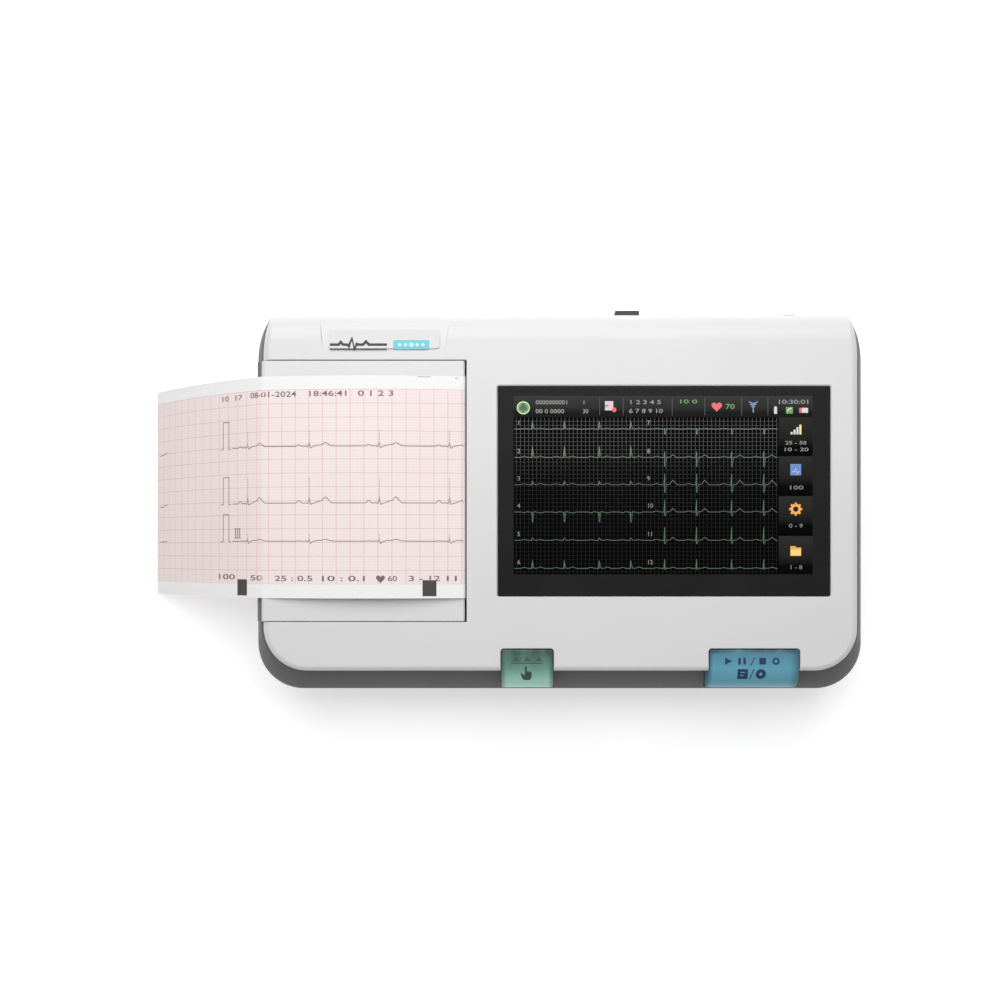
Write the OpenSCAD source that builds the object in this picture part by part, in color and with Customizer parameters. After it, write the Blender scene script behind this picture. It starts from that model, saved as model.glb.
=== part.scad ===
// Desktop ECG recorder with a hinged chart-paper door at the left and a
// landscape screen at the right.
// Millimetres, +Z up. The origin is the centre of the footprint on the table;
// +X is the right side, +Y the rear edge.

/* [Body] */
// Width across the grey belt
body_w = 225; // [221:0.5:232]
// Depth across the grey belt, front to rear
body_d = 138; // [137:0.5:144]
// Height of the top panel above the table
body_h = 46; // [46:0.5:52]
// Side wall thickness of both housings
wall = 2.2; // [1.8:0.1:2.4]

/* [Recorder] */
// Width of the chart paper
paper_w = 80; // [72:1:80]
// Radius of the full paper roll
roll_r = 15.5; // [11:0.5:16]
// Radius of the rubber platen
platen_r = 4.45; // [4.2:0.05:4.45]
// Height of the door slot above the table side of the hanging paper
paper_drop = 45; // [43:0.5:45]

/* [Keys] */
// Width of the open key
open_w = 18.7; // [15:0.1:19]
// Width of the print key
print_w = 33.3; // [26:0.1:34]

/* [Power and sound] */
// Radius of the battery cells
cell_r = 9.2; // [8:0.1:9.2]
// Radius of the speaker
speaker_r = 11; // [9:0.25:11.5]

/* [Hidden] */
$fn = 48;
// Points named ..._at hold the two coordinates across the part's own axis:
// [x, z] for parts along Y, [x, y] for parts along Z.

// housings
top_z = body_h;
half_w = body_w / 2;
half_d = body_d / 2;
shell_h = 9.5;                // height of the white shell
split_z = top_z - shell_h;    // parting plane of the two housings
shell_x = half_w - 3;         // half width of the white shell
shell_front = -half_d + 8;    // front face of the white shell
rear_roll = 11;               // depth of the rolled rear edge
top_t = 2.6;                  // top panel thickness
posts = [                     // screw posts joining the housings
  [-half_w + 15.5, -half_d + 20.5], [half_w - 15.5, -half_d + 20.5],
  [-half_w + 20.5, half_d - 13.7], [half_w - 20.5, half_d - 13.7]
];
feet = [for (y = [-44, 42], x = [-84, 84]) [x, y]];

// door and hinge
slot_x = -34.4;               // middle of the paper slot
door_x0 = -half_w + 4.1;
door_x1 = slot_x - 0.35;
door_y0 = -43.1;
door_y1 = 51.1;
door_t = 2.4;                 // door skin thickness
knuckle = 13;                 // length of a hinge knuckle
hinge_x = -half_w + 6.3;
hinge_z = top_z - 5;
hinge_at = [hinge_x, hinge_z];

// platen, paper and roll
platen_x = -39.1;
platen_z = top_z - 8;
platen_at = [platen_x, platen_z];
paper_y = 5.35;               // middle of the paper across the machine
paper_y0 = paper_y - paper_w / 2;
paper_y1 = paper_y + paper_w / 2;
roll_x = -75;
roll_z = 23.5;
roll_at = [roll_x, roll_z];

// gear train
gear_module = 0.4;
platen_teeth = 26;
small_teeth = 16;
large_teeth = 40;
motor_teeth = 12;
motor_dx = 3.6;               // motor axis to the right of the gear stud
stud_z = platen_z - gear_module * (platen_teeth + small_teeth) / 2;
stud_at = [platen_x, stud_z];
motor_z = stud_z
  - sqrt(pow(gear_module * (large_teeth + motor_teeth) / 2, 2) - motor_dx * motor_dx);
motor_at = [platen_x + motor_dx, motor_z];

// recorder chassis and its print head bracket
chassis_y0 = -40.3;
chassis_y1 = 48.5;
chassis_z = 5.4;
bracket_at = [-29.4, top_z - 11.6];

// screen
glass_x0 = -22.7;
glass_x1 = 97.3;
glass_y0 = -33.9;
glass_y1 = 41.8;
lcd_x = 36.98;
lcd_y = 6.15;

// keys
open_x = -12.15;
print_x = 69.55;
keys = [[open_x, open_w], [print_x, print_w]];
key_gap = 0.25;
key_y0 = -53.2;               // rear end of the keys
key_y1 = -half_d + 1.3;       // front face of the keys
key_turn_y = -57;             // where the pad begins to turn down
key_board_z = split_z - 4.5;
key_bolts = [[print_x - 20, -49], [print_x + 20, -49]];
switch_at = [print_x, -54.6];

// latch
latch_x = -26;
latch_z = top_z - 19;
latch_at = [latch_x, latch_z];
spring_at = [open_x, -50];

// boards and connectors
board_t = 1.6;
board_z = top_z - 20;
parts_z = board_z + 1.62;     // underside of parts on the main board
front_end_z = 12;
board_bolts = [[-12, -33], [95, -33], [-12, 50], [95, 40]];
front_end_bolts = [[84, -14], [84, 24]];
power_x = 25.1;
usb_x = 66.9;
inlet_x = 85;
inlet_at = [inlet_x, board_z + 5.4];
socket_face = half_w - 5.6;   // outer face of the patient socket wall
socket_y = 5;
socket_z = 19.6;
jack_ys = [socket_y - 16.65, socket_y + 16.65];
pin_pitch = 2.76;

// speaker and battery cover
speaker_at = [62, -42];
cover_bolts = [[-9.6, 3], [69.6, 3]];

// ---------- helpers ----------
function reversed(list) = [for (i = [len(list) - 1 : -1 : 0]) list[i]];

function arc(centre, r, a0, a1, steps) =
  [for (i = [0 : steps]) let (a = a0 + (a1 - a0) * i / steps) centre + r * [cos(a), sin(a)]];

module box(x0, x1, y0, y1, z0, z1)
  translate([x0, y0, z0]) cube([x1 - x0, y1 - y0, z1 - z0]);

// Box reaching half to either side of x.
module mid_box(x, half, y0, y1, z0, z1) box(x - half, x + half, y0, y1, z0, z1);

// Round bars along X, Y and Z.
module xbar(at, r, x0, x1)
  translate([x0, at[0], at[1]]) rotate([0, 90, 0]) cylinder(r = r, h = x1 - x0);
module ybar(at, r, y0, y1)
  translate([at[0], y0, at[1]]) rotate([-90, 0, 0]) cylinder(r = r, h = y1 - y0);
module zbar(at, r, z0, z1)
  translate([at[0], at[1], z0]) cylinder(r = r, h = z1 - z0);

// Section drawn in Y and Z, extruded along X from x0 to x1.
module extrude_x(x0, x1)
  translate([x0, 0, 0]) rotate([90, 0, 90]) linear_extrude(x1 - x0) children();
// Section drawn in X and Z, extruded along Y from y0 to y1.
module extrude_y(y0, y1)
  translate([0, y1, 0]) rotate([90, 0, 0]) linear_extrude(y1 - y0) children();

// Rectangle in X and Y with round corners, and the box standing on it.
module round_rect(x0, x1, y0, y1, r) {
  union() {
    translate([x0 + r, y0]) square([x1 - x0 - 2 * r, y1 - y0]);
    translate([x0, y0 + r]) square([x1 - x0, y1 - y0 - 2 * r]);
    for (x = [x0 + r, x1 - r], y = [y0 + r, y1 - r])
      translate([x, y]) circle(r = r, $fn = 32);
  }
}
module round_box(x0, x1, y0, y1, z0, z1, r)
  translate([0, 0, z0]) linear_extrude(z1 - z0) round_rect(x0, x1, y0, y1, r);

// Spur gear along Y with straight-flanked teeth; the phase is in degrees.
module gear(at, teeth, y0, y1, bore, phase = 0) {
  pitch_r = gear_module * teeth / 2;
  tip_r = pitch_r + 0.85 * gear_module;
  root_r = pitch_r - 1.1 * gear_module;
  // [fraction of a tooth pitch, radius]
  tooth = [[-0.34, root_r], [-0.115, tip_r], [0.115, tip_r], [0.34, root_r]];
  difference() {
    extrude_y(y0, y1) translate(at) rotate(phase) polygon([
      for (i = [0 : teeth - 1]) for (p = tooth)
        let (a = 360 / teeth * (i + p[0])) [p[1] * cos(a), p[1] * sin(a)]
    ]);
    ybar(at, bore, y0 - 1, y1 + 1);
  }
}

// Round wire wound about Z from z0 to z1.
module coil(at, z0, z1, r, wire, turns)
  translate([at[0], at[1], z0])
    linear_extrude(z1 - z0, twist = -360 * turns, slices = ceil(10 * turns))
      translate([r, 0]) scale([1, 1.6]) circle(r = wire, $fn = 8);

// Cross-slotted screw along Z, head at the top or at the bottom.
module screw(at, z0, z1, r, head_r, head_h, head_up) {
  head_z = head_up ? z1 - head_h : z0;
  slot_z = head_up ? [z1 - head_h * 0.5, z1 + 1] : [z0 - 1, z0 + head_h * 0.5];
  difference() {
    union() {
      zbar(at, head_r, head_z, head_z + head_h, $fn = 32);
      zbar(at, r, z0, z1, $fn = 32);
    }
    for (half = [[head_r * 0.7, 0.3], [0.3, head_r * 0.7]])
      mid_box(at[0], half[0], at[1] - half[1], at[1] + half[1], slot_z[0], slot_z[1]);
  }
}

// ---------- housing shapes ----------
// One closed outline at height z: elliptical rear corners, round front corners.
function ring(z, half_x, y0, y1, front_r, rear_rx, rear_ry) =
  let (
    steps = 7,
    // centre x and y, radius in x and y, start angle
    corners = [
      [half_x - rear_rx, y1 - rear_ry, rear_rx, rear_ry, 0],
      [-half_x + rear_rx, y1 - rear_ry, rear_rx, rear_ry, 90],
      [-half_x + front_r, y0 + front_r, front_r, front_r, 180],
      [half_x - front_r, y0 + front_r, front_r, front_r, 270]
    ])
  [for (c = corners, i = [0 : steps]) let (a = c[4] + 90 * i / steps)
    [c[0] + c[2] * cos(a), c[1] + c[3] * sin(a), z]];

// Solid through a list of rings with the same point count, lowest first.
module loft(rings) {
  count = len(rings);
  size = len(rings[0]);
  polyhedron(
    points = [for (r = rings) each r],
    faces = concat(
      [[for (i = [0 : size - 1]) i]],
      [[for (i = [0 : size - 1]) count * size - 1 - i]],
      // each side panel is split into two triangles
      [for (lower = [false, true], k = [0 : count - 2], i = [0 : size - 1])
        let (low = k * size, high = low + size, next = (i + 1) % size)
        lower ? [low + i, high + next, low + next] : [low + i, high + i, high + next]]
    ),
    convexity = 8
  );
}

// Inward step at depth s below the top of a fillet of radius r.
function fillet(s, r) = s >= r ? 0 : r - sqrt(r * r - (r - s) * (r - s));

// White shell: front edge fillet, side edge fillet and a wide rolled rear edge.
// The angle runs round the rear roll; side and cap are the wall and top left off.
roll_angles = [0, 20, 38, 50, 60, 70, 80, 90];
function white_ring(angle, side, cap) =
  let (rise = (shell_h - cap) * sin(angle),
       depth = shell_h - cap - rise,
       side_in = fillet(depth, max(2.6 - cap, 0.8)) + 0.26 * rise,
       front_in = fillet(depth, max(3.5 - cap, 0.8)),
       half_x = shell_x - side - side_in,
       rear = (rear_roll - side) * cos(angle))
  ring(split_z + rise, half_x, shell_front + side + front_in, half_d - 10.8 + rear,
       15.5 - side - front_in, half_x - (shell_x - 6.5), 7 + rear);

module white_outer() loft([for (a = roll_angles) white_ring(a, 0, 0)]);
module white_inner() {
  loft(concat([[for (p = white_ring(0, wall, top_t)) [p[0], p[1], split_z - 2]]],
              [for (a = roll_angles) white_ring(a, wall, top_t)]));
}

// Grey shell sections for a 46 mm high body:
// height, inset in X, front inset, rear inset, front radius, rear radii in X and Y.
grey_sections = [
  [2,      11.5, 10.5, 9.0, 11,  9, 13],
  [3.2,    10.2,  9.2, 7.8, 12,  9.5, 14],
  [6,       9.0,  8.0, 6.6, 13, 10, 15],
  [14,      5.2,  4.6, 3.6, 15, 10, 16],
  [22,      2.4,  2.2, 1.6, 16, 9.5, 17],
  [27.5,    0.8,  0.8, 0.7, 17,  9, 17.5],
  [31,      0.0,  0.0, 0.2, 17,  8.5, 17.8],
  [32,      0.1,  0.4, 0.1, 17,  8.4, 17.9],
  [36.45,   2.3,  7.2, 0.1, 15.6, 6.4, 17.9]
];
// Sections above the foot of the shell rise with the body height.
function grey_z(z) = z < 10 ? z : z + (body_h - 46);
function grey_ring(g, inset, z) =
  ring(z, half_w - g[1] - inset, -half_d + g[2] + inset, half_d - g[3] - inset,
       g[4] - inset, g[5] - inset, g[6] - inset);
module grey_outer() loft([for (g = grey_sections) grey_ring(g, 0, grey_z(g[0]))]);
module grey_inner() {
  loft(concat(
    [grey_ring(grey_sections[1], wall + 0.4, 4.4)],
    [for (i = [2 : 8]) grey_ring(grey_sections[i], wall, grey_z(grey_sections[i][0]))],
    [grey_ring(grey_sections[8], wall, split_z + 3)]));
}

// Box on the outline of the glass, drawn in at the sides, front and rear.
module glass_box(side, front, rear, z0, z1, r)
  round_box(glass_x0 + side, glass_x1 - side, glass_y0 + front, glass_y1 - rear, z0, z1, r);

// Frame of the shallow slanted facet on the rear roll.
module on_badge_facet()
  translate([0, half_d - 14.8, top_z]) rotate([-12.3, 0, 0]) children();

// D-shaped outline of the patient socket, grown by gap.
module socket_outline(gap = 0)
  translate([socket_y, socket_z]) polygon([
    [-12.3 - gap, 4 + gap], [12.3 + gap, 4 + gap], [11 + gap, -4 - gap], [-11 - gap, -4 - gap]]);

// Outline of the battery cover seat, drawn in by gap.
module cover_box(gap, z0, z1, r)
  round_box(-13 + gap, 73 - gap, -27.5 + gap, 33.5 - gap, z0, z1, r);

// ---------- housings ----------
module upper_housing() color("WhiteSmoke") {
  difference() {
    union() {
      difference() {
        white_outer();
        white_inner();
      }
      // ledge block round the screen
      intersection() {
        white_outer();
        box(glass_x0 - 2.5, glass_x1 + 2.5, glass_y0 - 2.5, glass_y1 + 2.5,
            top_z - 3.6, top_z - 0.1);
      }
      // hinge pin blocks
      intersection() {
        white_outer();
        union() {
          for (y = [door_y0 - 5.4, door_y1 + 0.3])
            box(hinge_x - 2.4, hinge_x + 4, y, y + 5.1, hinge_z - 2.8, top_z - 1);
        }
      }
      for (p = posts) zbar(p, 3.6, 20, top_z - 2);
      // rib to the right of the tear bar
      box(slot_x + 0.5, slot_x + 2.3, door_y0 - 0.2, door_y1 + 0.2, top_z - 3.4, top_z - 1);
      // key guide ribs
      for (rib = [[open_x, open_w / 2 - 2], [print_x, print_w / 2 - 4]])
        mid_box(rib[0], rib[1], key_y0 + 0.3, key_y0 + 1.8, split_z, top_z - 1);
    }
    // door opening with its left end open to the side
    box(-half_w - 5, slot_x + 0.5, door_y0 - 0.25, door_y1 + 0.25, split_z - 3, top_z + 3);
    // screen pocket and window
    glass_box(-0.25, -0.25, -0.25, top_z - 1.9, top_z + 1, 2.2);
    glass_box(3.2, 3.4, 2.4, top_z - 6, top_z + 1, 0.5);
    // key openings
    for (k = keys)
      mid_box(k[0], k[1] / 2 + key_gap, -half_d - 3, key_y0 + key_gap, split_z - 1, top_z + 2);
    // badge recess
    on_badge_facet()
      linear_extrude(6) polygon([[-85.6, 0], [-42.2, 0], [-40.4, 12], [-87.3, 12]]);
    for (p = posts) zbar(p, 1.55, 10, top_z - 5);
    ybar(hinge_at, 1.28, door_y0 - 9, door_y1 + 3.8);
  }
}

module lower_housing() color("DimGray") {
  difference() {
    union() {
      difference() {
        grey_outer();
        grey_inner();
      }
      intersection() {
        grey_outer();
        union() {
          // flat wall for the patient socket
          box(socket_face - 2.6, socket_face, -22, 32, 3, 30.5);
          for (p = posts) zbar(p, 4.2, 3, 19.9);
          // board posts
          for (b = board_bolts) zbar(b, 3, 3, board_z - 0.05);
          for (b = front_end_bolts) zbar(b, 2.6, 3, front_end_z - 0.05);
          // battery bay walls
          for (y = [-27.2, 31.8]) box(-9, 69, y, y + 1.4, 3, 14);
          // spring seat of the latch
          difference() {
            zbar(spring_at, 4, 3, 20);
            zbar(spring_at, 3.2, 18, 21);
          }
          for (b = key_bolts) zbar(b, 2.4, 3, key_board_z - 0.05);
        }
      }
    }
    // key notches in the lip
    for (k = keys)
      mid_box(k[0], k[1] / 2 + key_gap, -half_d + 0.9, -half_d + 20, split_z - 4.7, split_z + 2);
    // recess outside the patient socket wall
    box(socket_face, socket_face + 20, -18.5, 28.5, 9.5, 29);
    // patient socket window and jackscrew holes
    extrude_x(half_w - 12, half_w) socket_outline(0.3);
    for (y = jack_ys) xbar([y, socket_z], 1.75, half_w - 12, half_w);
    // rear openings: power inlet, USB port, power button
    ybar(inlet_at, 4.6, half_d - 8, half_d + 5);
    mid_box(usb_x, 6.9, half_d - 8, half_d + 5, board_z + 1.5, board_z + 9);
    mid_box(power_x, 4.7, half_d - 8, half_d + 5, board_z + 2.2, board_z + 8);
    // speaker grille
    for (a = [0 : 60 : 300])
      zbar(speaker_at + 5.5 * [cos(a), sin(a)], 0.9, 1, 6, $fn = 24);
    zbar(speaker_at, 0.9, 1, 6, $fn = 24);
    // battery bay opening and cover seat
    box(-7, 67, -24.5, 30.5, 1, 6);
    cover_box(0, 1, 3.3, 3);
    for (b = cover_bolts) zbar(b, 1.05, 1, 4.2, $fn = 24);
    // screw bores and counterbores
    for (p = posts) {
      zbar(p, 1.75, 1, 22);
      zbar(p, 3, 1, 6);
    }
    for (b = board_bolts) zbar(b, 1.1, board_z - 9, board_z + 1);
    for (b = front_end_bolts) zbar(b, 1.1, front_end_z - 6, front_end_z + 1);
    for (b = key_bolts) zbar(b, 1.1, 24, key_board_z + 2);
    // foot sockets
    for (f = feet) zbar(f, 6.05, 1, 3.2);
  }
}

// ---------- door ----------
edge_r = 1.8;                 // rounding of the door's upper left edge

module recorder_door() color("White") {
  difference() {
    union() {
      // skin and left skirt
      extrude_y(door_y0, door_y1) polygon(concat(
        [[door_x1, top_z - door_t], [door_x1, top_z - 0.5], [door_x1 - 0.5, top_z]],
        arc([door_x0 + edge_r, top_z - edge_r], edge_r, 90, 180, 8),
        [[door_x0, top_z - 3.3], [door_x0 + 1.6, top_z - 3.3], [door_x0 + 2.4, top_z - door_t]]));
      // stiffening ribs
      for (y = [door_y0 + 0.6, door_y1 - 2])
        box(door_x0 + 9, -62, y, y + 1.4, top_z - 5.5, top_z - door_t + 0.3);
      for (x = [-96, -80])
        box(x, x + 1.4, door_y0 + 1, door_y1 - 1, top_z - 4.2, top_z - door_t + 0.3);
      // hinge knuckles
      for (y = [door_y0, door_y1 - knuckle]) {
        ybar(hinge_at, 2.5, y, y + knuckle);
        box(hinge_x - 2.1, hinge_x + 2.5, y, y + knuckle, hinge_z, top_z - 1.9);
      }
    }
    ybar(hinge_at, 1.33, door_y0 - 1, door_y1 + 1);
  }
}

// Grey strip along the outside of the door's left edge, relieved for the knuckles.
module door_trim() color("DimGray") difference() {
  extrude_y(door_y0 + 0.1, door_y1 - 0.1) polygon([
    [-110.3, top_z - 7.2], [-110.3, top_z - 3.6], [-110.05, top_z - 2.95],
    [-109.4, top_z - 2.65], [door_x0 - 0.05, top_z - 2.65], [door_x0 - 0.05, top_z - 7.2]]);
  for (y = [door_y0 - 1, door_y1 - knuckle - 0.1]) ybar(hinge_at, 2.56, y, y + knuckle + 1.1);
}

module door_inner_frame() color("#3a3d40") {
  difference() {
    union() {
      // plate under the free end
      box(-61, platen_x + 1.5, -41.4, 48.8, top_z - 3.3, top_z - door_t - 0.02);
      // cheeks
      for (y = [[-40.2, -38.7], [47.0, 48.6]])
        extrude_y(y[0], y[1]) polygon([
          [platen_x - 8, top_z - 3], [platen_x + 3.4, top_z - 3], [platen_x + 3.4, platen_z - 2],
          [platen_x + 2, platen_z - 4.2], [platen_x - 2, platen_z - 4.2],
          [platen_x - 5, platen_z - 1]]);
      // catch stub for the latch
      ybar(platen_at + [1.6, -2.4], 1.2, -42.7, -40.0);
      // roller guard to the left of the platen
      box(platen_x - 8, platen_x - 6.6, -40, 48, top_z - 7, top_z - 3);
    }
    for (y = [-41, 46]) ybar(platen_at, 2.8, y, y + 3.4);
    ybar(platen_at, platen_r + 0.5, -38.5, 46.9);
  }
}

module door_hinge_pin() color("Silver") ybar(hinge_at, 1.25, door_y0 - 5.3, door_y1 + 3.6);

// ---------- screen ----------
module display_glass() color([0.1, 0.1, 0.11, 0.8])
  glass_box(0, 0, 0, top_z - 1.65, top_z - 0.35, 2);

module display_gasket() color("Black") difference() {
  glass_box(0.2, 0.2, 0.2, top_z - 1.88, top_z - 1.67, 1.9);
  glass_box(3, 3.2, 2.2, top_z - 3, top_z, 1.5);
}

module lcd_module() color("Silver") difference() {
  union() {
    mid_box(lcd_x, 56.2, lcd_y - 34.5, lcd_y + 33, top_z - 5.6, top_z - 2.2);
    mid_box(lcd_x, 58.5, lcd_y - 36, lcd_y + 34.5, top_z - 6.6, top_z - 3.65);
  }
  mid_box(lcd_x, 54.05, lcd_y - 32.25, lcd_y + 32.25, top_z - 2.4, top_z);
}

// Flat cable from the screen module down to the main board.
module display_cable() color("Orange")
  extrude_y(0, 22) polygon([
    [lcd_x - 40, top_z - 6.62], [lcd_x - 20, top_z - 6.62],
    [lcd_x - 20, top_z - 6.9], [lcd_x - 36, top_z - 6.9], [lcd_x - 40, top_z - 9],
    [lcd_x - 40, board_z + 4], [lcd_x - 37, board_z + 1.9], [lcd_x - 28, board_z + 1.9],
    [lcd_x - 28, parts_z], [lcd_x - 37.2, parts_z],
    [lcd_x - 40.3, board_z + 3.9], [lcd_x - 40.3, top_z - 6.9]]);

// ---------- keys ----------
// Turned-down front of a key seen from the side, [y, z] from the pad forwards.
function key_front(inset_y, inset_z) = [for (i = [0 : 12]) let (a = 7.5 * i)
  [key_turn_y - (key_turn_y - key_y1 - inset_y) * sin(a),
   top_z - 7.6 + (8.1 - inset_z) * cos(a)]];

// Rounded pad that turns down over the front edge; sag lowers its front lip.
module key_cap(x, width, sag) {
  extrude_x(x - width / 2, x + width / 2) polygon(concat(
    [[key_y0, split_z + 1.5], [key_y0, top_z + 0.1], [key_y0 - 0.6, top_z + 0.5]],
    key_front(0, 0),
    [[key_y1, split_z - 2.6 - sag], [key_y1 + 1.4, split_z - 2.6 - sag]],
    reversed(key_front(1.5, 2.3)),
    [[key_y0 - 1.4, top_z - 1.8], [key_y0 - 1.4, split_z + 1.5]]));
  // end walls
  for (x0 = [x - width / 2, x + width / 2 - 1.3]) extrude_x(x0, x0 + 1.3) polygon(concat(
    [[key_y0, split_z + 1.5], [key_y0, top_z - 1]],
    key_front(0.5, 0.5),
    [[key_y1 + 0.6, split_z - 2.4 - sag], [key_y0 - 3, split_z - 1.5]]));
}

module open_button() color("MediumSeaGreen") {
  key_cap(open_x, open_w, 0);
  // pusher over the latch pad
  mid_box(open_x, 0.8, key_y0 - 3.6, key_y0 - 1, split_z - 2.85, top_z - 1.5);
}

module print_button() color("SteelBlue") {
  key_cap(print_x, print_w, 0.3);
  // pusher over the key switch
  mid_box(print_x, 2.5, key_y0 - 3.2, key_y0 - 1, split_z + 1.05, top_z - 1.5);
}

module key_board() color("SeaGreen") difference() {
  mid_box(print_x, 23.4, -57.4, -46, key_board_z, key_board_z + board_t);
  for (b = key_bolts) zbar(b, 1.25, split_z - 6, split_z);
}
module key_switch() color("#303030") difference() {
  mid_box(print_x, 3, -57.2, -51.6, split_z - 2.88, split_z - 0.2);
  zbar(switch_at, 1.6, split_z - 1.6, split_z + 1);
}
module key_switch_plunger() color("White")
  zbar(switch_at, 1.5, split_z - 0.85, split_z + 0.98, $fn = 32);

// Cap, flange inside the rear wall and stem.
module power_button() color("#2b2b2b") {
  mid_box(power_x, 4.45, half_d - 1.8, half_d + 2.6, board_z + 2.45, board_z + 7.75);
  mid_box(power_x, 5.6, half_d - 4.4, half_d - 3.1, board_z + 1.9, board_z + 8.2);
  mid_box(power_x, 3, half_d - 6.2, half_d - 1.6, board_z + 3.6, board_z + 6.4);
}
module power_switch() color("#404048") {
  mid_box(power_x, 4, half_d - 14.5, half_d - 8.2, parts_z, board_z + 7);
  ybar([power_x, board_z + 5], 1.4, half_d - 8.4, half_d - 7.2, $fn = 32);
}

// ---------- latch ----------
module latch_lever() color("#d8c14a") {
  difference() {
    union() {
      // upright arm with its nose
      extrude_y(-42.6, -41.0) polygon([
        [latch_x - 3, latch_z - 3], [latch_x + 3, latch_z - 3],
        [latch_x + 14, split_z - 4.9], [latch_x + 17.2, split_z - 4.5],
        [latch_x + 17.2, split_z - 3], [latch_x + 9, split_z - 3],
        [latch_x + 2, latch_z + 3.4], [latch_x - 5.6, top_z - 7],
        [latch_x - 8.8, top_z - 7.6], [latch_x - 10.05, top_z - 9.1],
        [latch_x - 10.05, top_z - 9.6], [latch_x - 8, top_z - 9.6],
        [latch_x - 4.6, latch_z + 3]]);
      ybar(latch_at, 3, -43.2, -41.0);
      // pad reaching under the open key
      box(open_x - 4, open_x + 3.2, -57.4, -41.0, split_z - 4.5, split_z - 3);
    }
    ybar(latch_at, 1.28, -44, -40);
  }
}
module latch_pin() color("Silver") union() {
  ybar(latch_at, 1.2, -43.9, -38.95, $fn = 32);
  ybar(latch_at, 2.2, -44.9, -43.7, $fn = 32);
}
module latch_spring() color("Gray") coil(spring_at, 18.1, split_z - 4.62, 2.2, 0.35, 5);

// ---------- platen and drive ----------
module platen_roller() color("#202020") difference() {
  ybar(platen_at, platen_r, paper_y0 - 1, paper_y1 + 1, $fn = 64);
  ybar(platen_at, 1.98, -60, 60);
}
module platen_shaft() color("Silver") ybar(platen_at, 1.97, -40.9, 50.9);

// Each bushing: start and end of the sleeve, start and end of the flange.
bushings = [[-40.25, -38.0, -38.62, -38.0], [46.45, 48.9, 46.45, 46.95]];
module platen_bushings() color("#c9a24a") for (b = bushings) difference() {
  union() {
    ybar(platen_at, 2.77, b[0], b[1]);
    ybar(platen_at, 3.6, b[2], b[3]);
  }
  ybar(platen_at, 2.0, b[0] - 1, b[1] + 1);
}
module platen_gear() color("Ivory") gear(platen_at, platen_teeth, 49.05, 50.8, 1.975);

// The tooth of one wheel faces the gap of the next along the line of centres.
small_phase = 90 - (0.5 + 90 * platen_teeth / 360) * 360 / small_teeth;
motor_angle = atan2(motor_z - stud_z, motor_dx);
motor_phase = motor_angle + 180 - (0.5 - motor_angle * large_teeth / 360) * 360 / motor_teeth;

module reduction_gear() color("Ivory") {
  gear(stud_at, small_teeth, 49.05, 50.9, 1.55, small_phase);
  gear(stud_at, large_teeth, 51.2, 52.8, 1.55);
  // hub joining the two wheels
  difference() {
    ybar(stud_at, 2.5, 50.8, 51.3);
    ybar(stud_at, 1.55, 50, 52);
  }
}
module gear_stud() color("Silver") union() {
  ybar(stud_at, 1.5, 47.2, 53.4);
  ybar(stud_at, 2.4, 53.0, 53.8);
}
module motor_pinion() color("#c9a24a")
  gear(motor_at, motor_teeth, 51.1, 52.95, 1.0, motor_phase);
module stepper_motor() color("Gainsboro") {
  difference() {
    union() {
      ybar(motor_at, 9.8, 30, 47.1, $fn = 64);
      ybar(motor_at, 3, 47, 48.9);
    }
    ybar(motor_at, 1.02, 32, 50, $fn = 32);
  }
}
module motor_shaft() color("Silver") ybar(motor_at, 0.97, 33, 52.9, $fn = 32);

// Side plate with an upright ear; its left shoulder runs from shoulder_x down to shoulder_z.
module chassis_side(y0, y1, shoulder_x, shoulder_z)
  extrude_y(y0, y1) polygon([
    [-50.5, chassis_z], [-20, chassis_z], [-20, 28], [-24, top_z - 14.6],
    [-26, top_z - 14.6], [-26, top_z - 9], [-31, top_z - 9], [-31, top_z - 14.6],
    [shoulder_x, top_z - 14.6], [-50.5, shoulder_z]]);

module recorder_chassis() color("#8a8f94") difference() {
  union() {
    box(-50.5, -20, chassis_y0, chassis_y1, chassis_z, chassis_z + 1.2);
    chassis_side(chassis_y0, chassis_y0 + 1.3, -36, 20);
    chassis_side(chassis_y1 - 1.35, chassis_y1, -46, 24);
  }
  ybar(latch_at, 1.21, -42, -36, $fn = 32);
  ybar(motor_at, 3.03, 46, 50);
  ybar(stud_at, 1.51, 46, 50);
  // bores for the bracket screws
  for (y = [-41, 46]) ybar(bracket_at, 1.05, y, y + 4, $fn = 24);
}

// ---------- print head ----------
module print_head() color("#6d6258")
  box(slot_x - 0.05, slot_x + 0.7, -36, 46.8, platen_z - 3.2, top_z - 3.8);
module print_head_heatsink() color("LightGray") difference() {
  box(slot_x + 0.72, slot_x + 3.4, -36.4, 47.0, platen_z - 4.4, top_z - 3.7);
  // grooves between the fins
  for (y = [-30 : 12 : 42]) box(slot_x + 1.9, slot_x + 4, y, y + 6, platen_z - 5, top_z);
}
module print_head_bracket() color("Gray") difference() {
  union() {
    box(-28.2, -27.0, -38.9, 47.05, top_z - 14.4, top_z - 3.8);
    // end lugs
    for (y = [-38.9, 45.75]) extrude_y(y, y + 1.3) polygon([
      [-30.9, top_z - 14], [-27, top_z - 14], [-27, top_z - 8],
      [-28.2, top_z - 8], [-30.9, top_z - 9.4]]);
  }
  for (y = [-41, 43]) ybar(bracket_at, 1.05, y, y + 6, $fn = 24);
}
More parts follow.
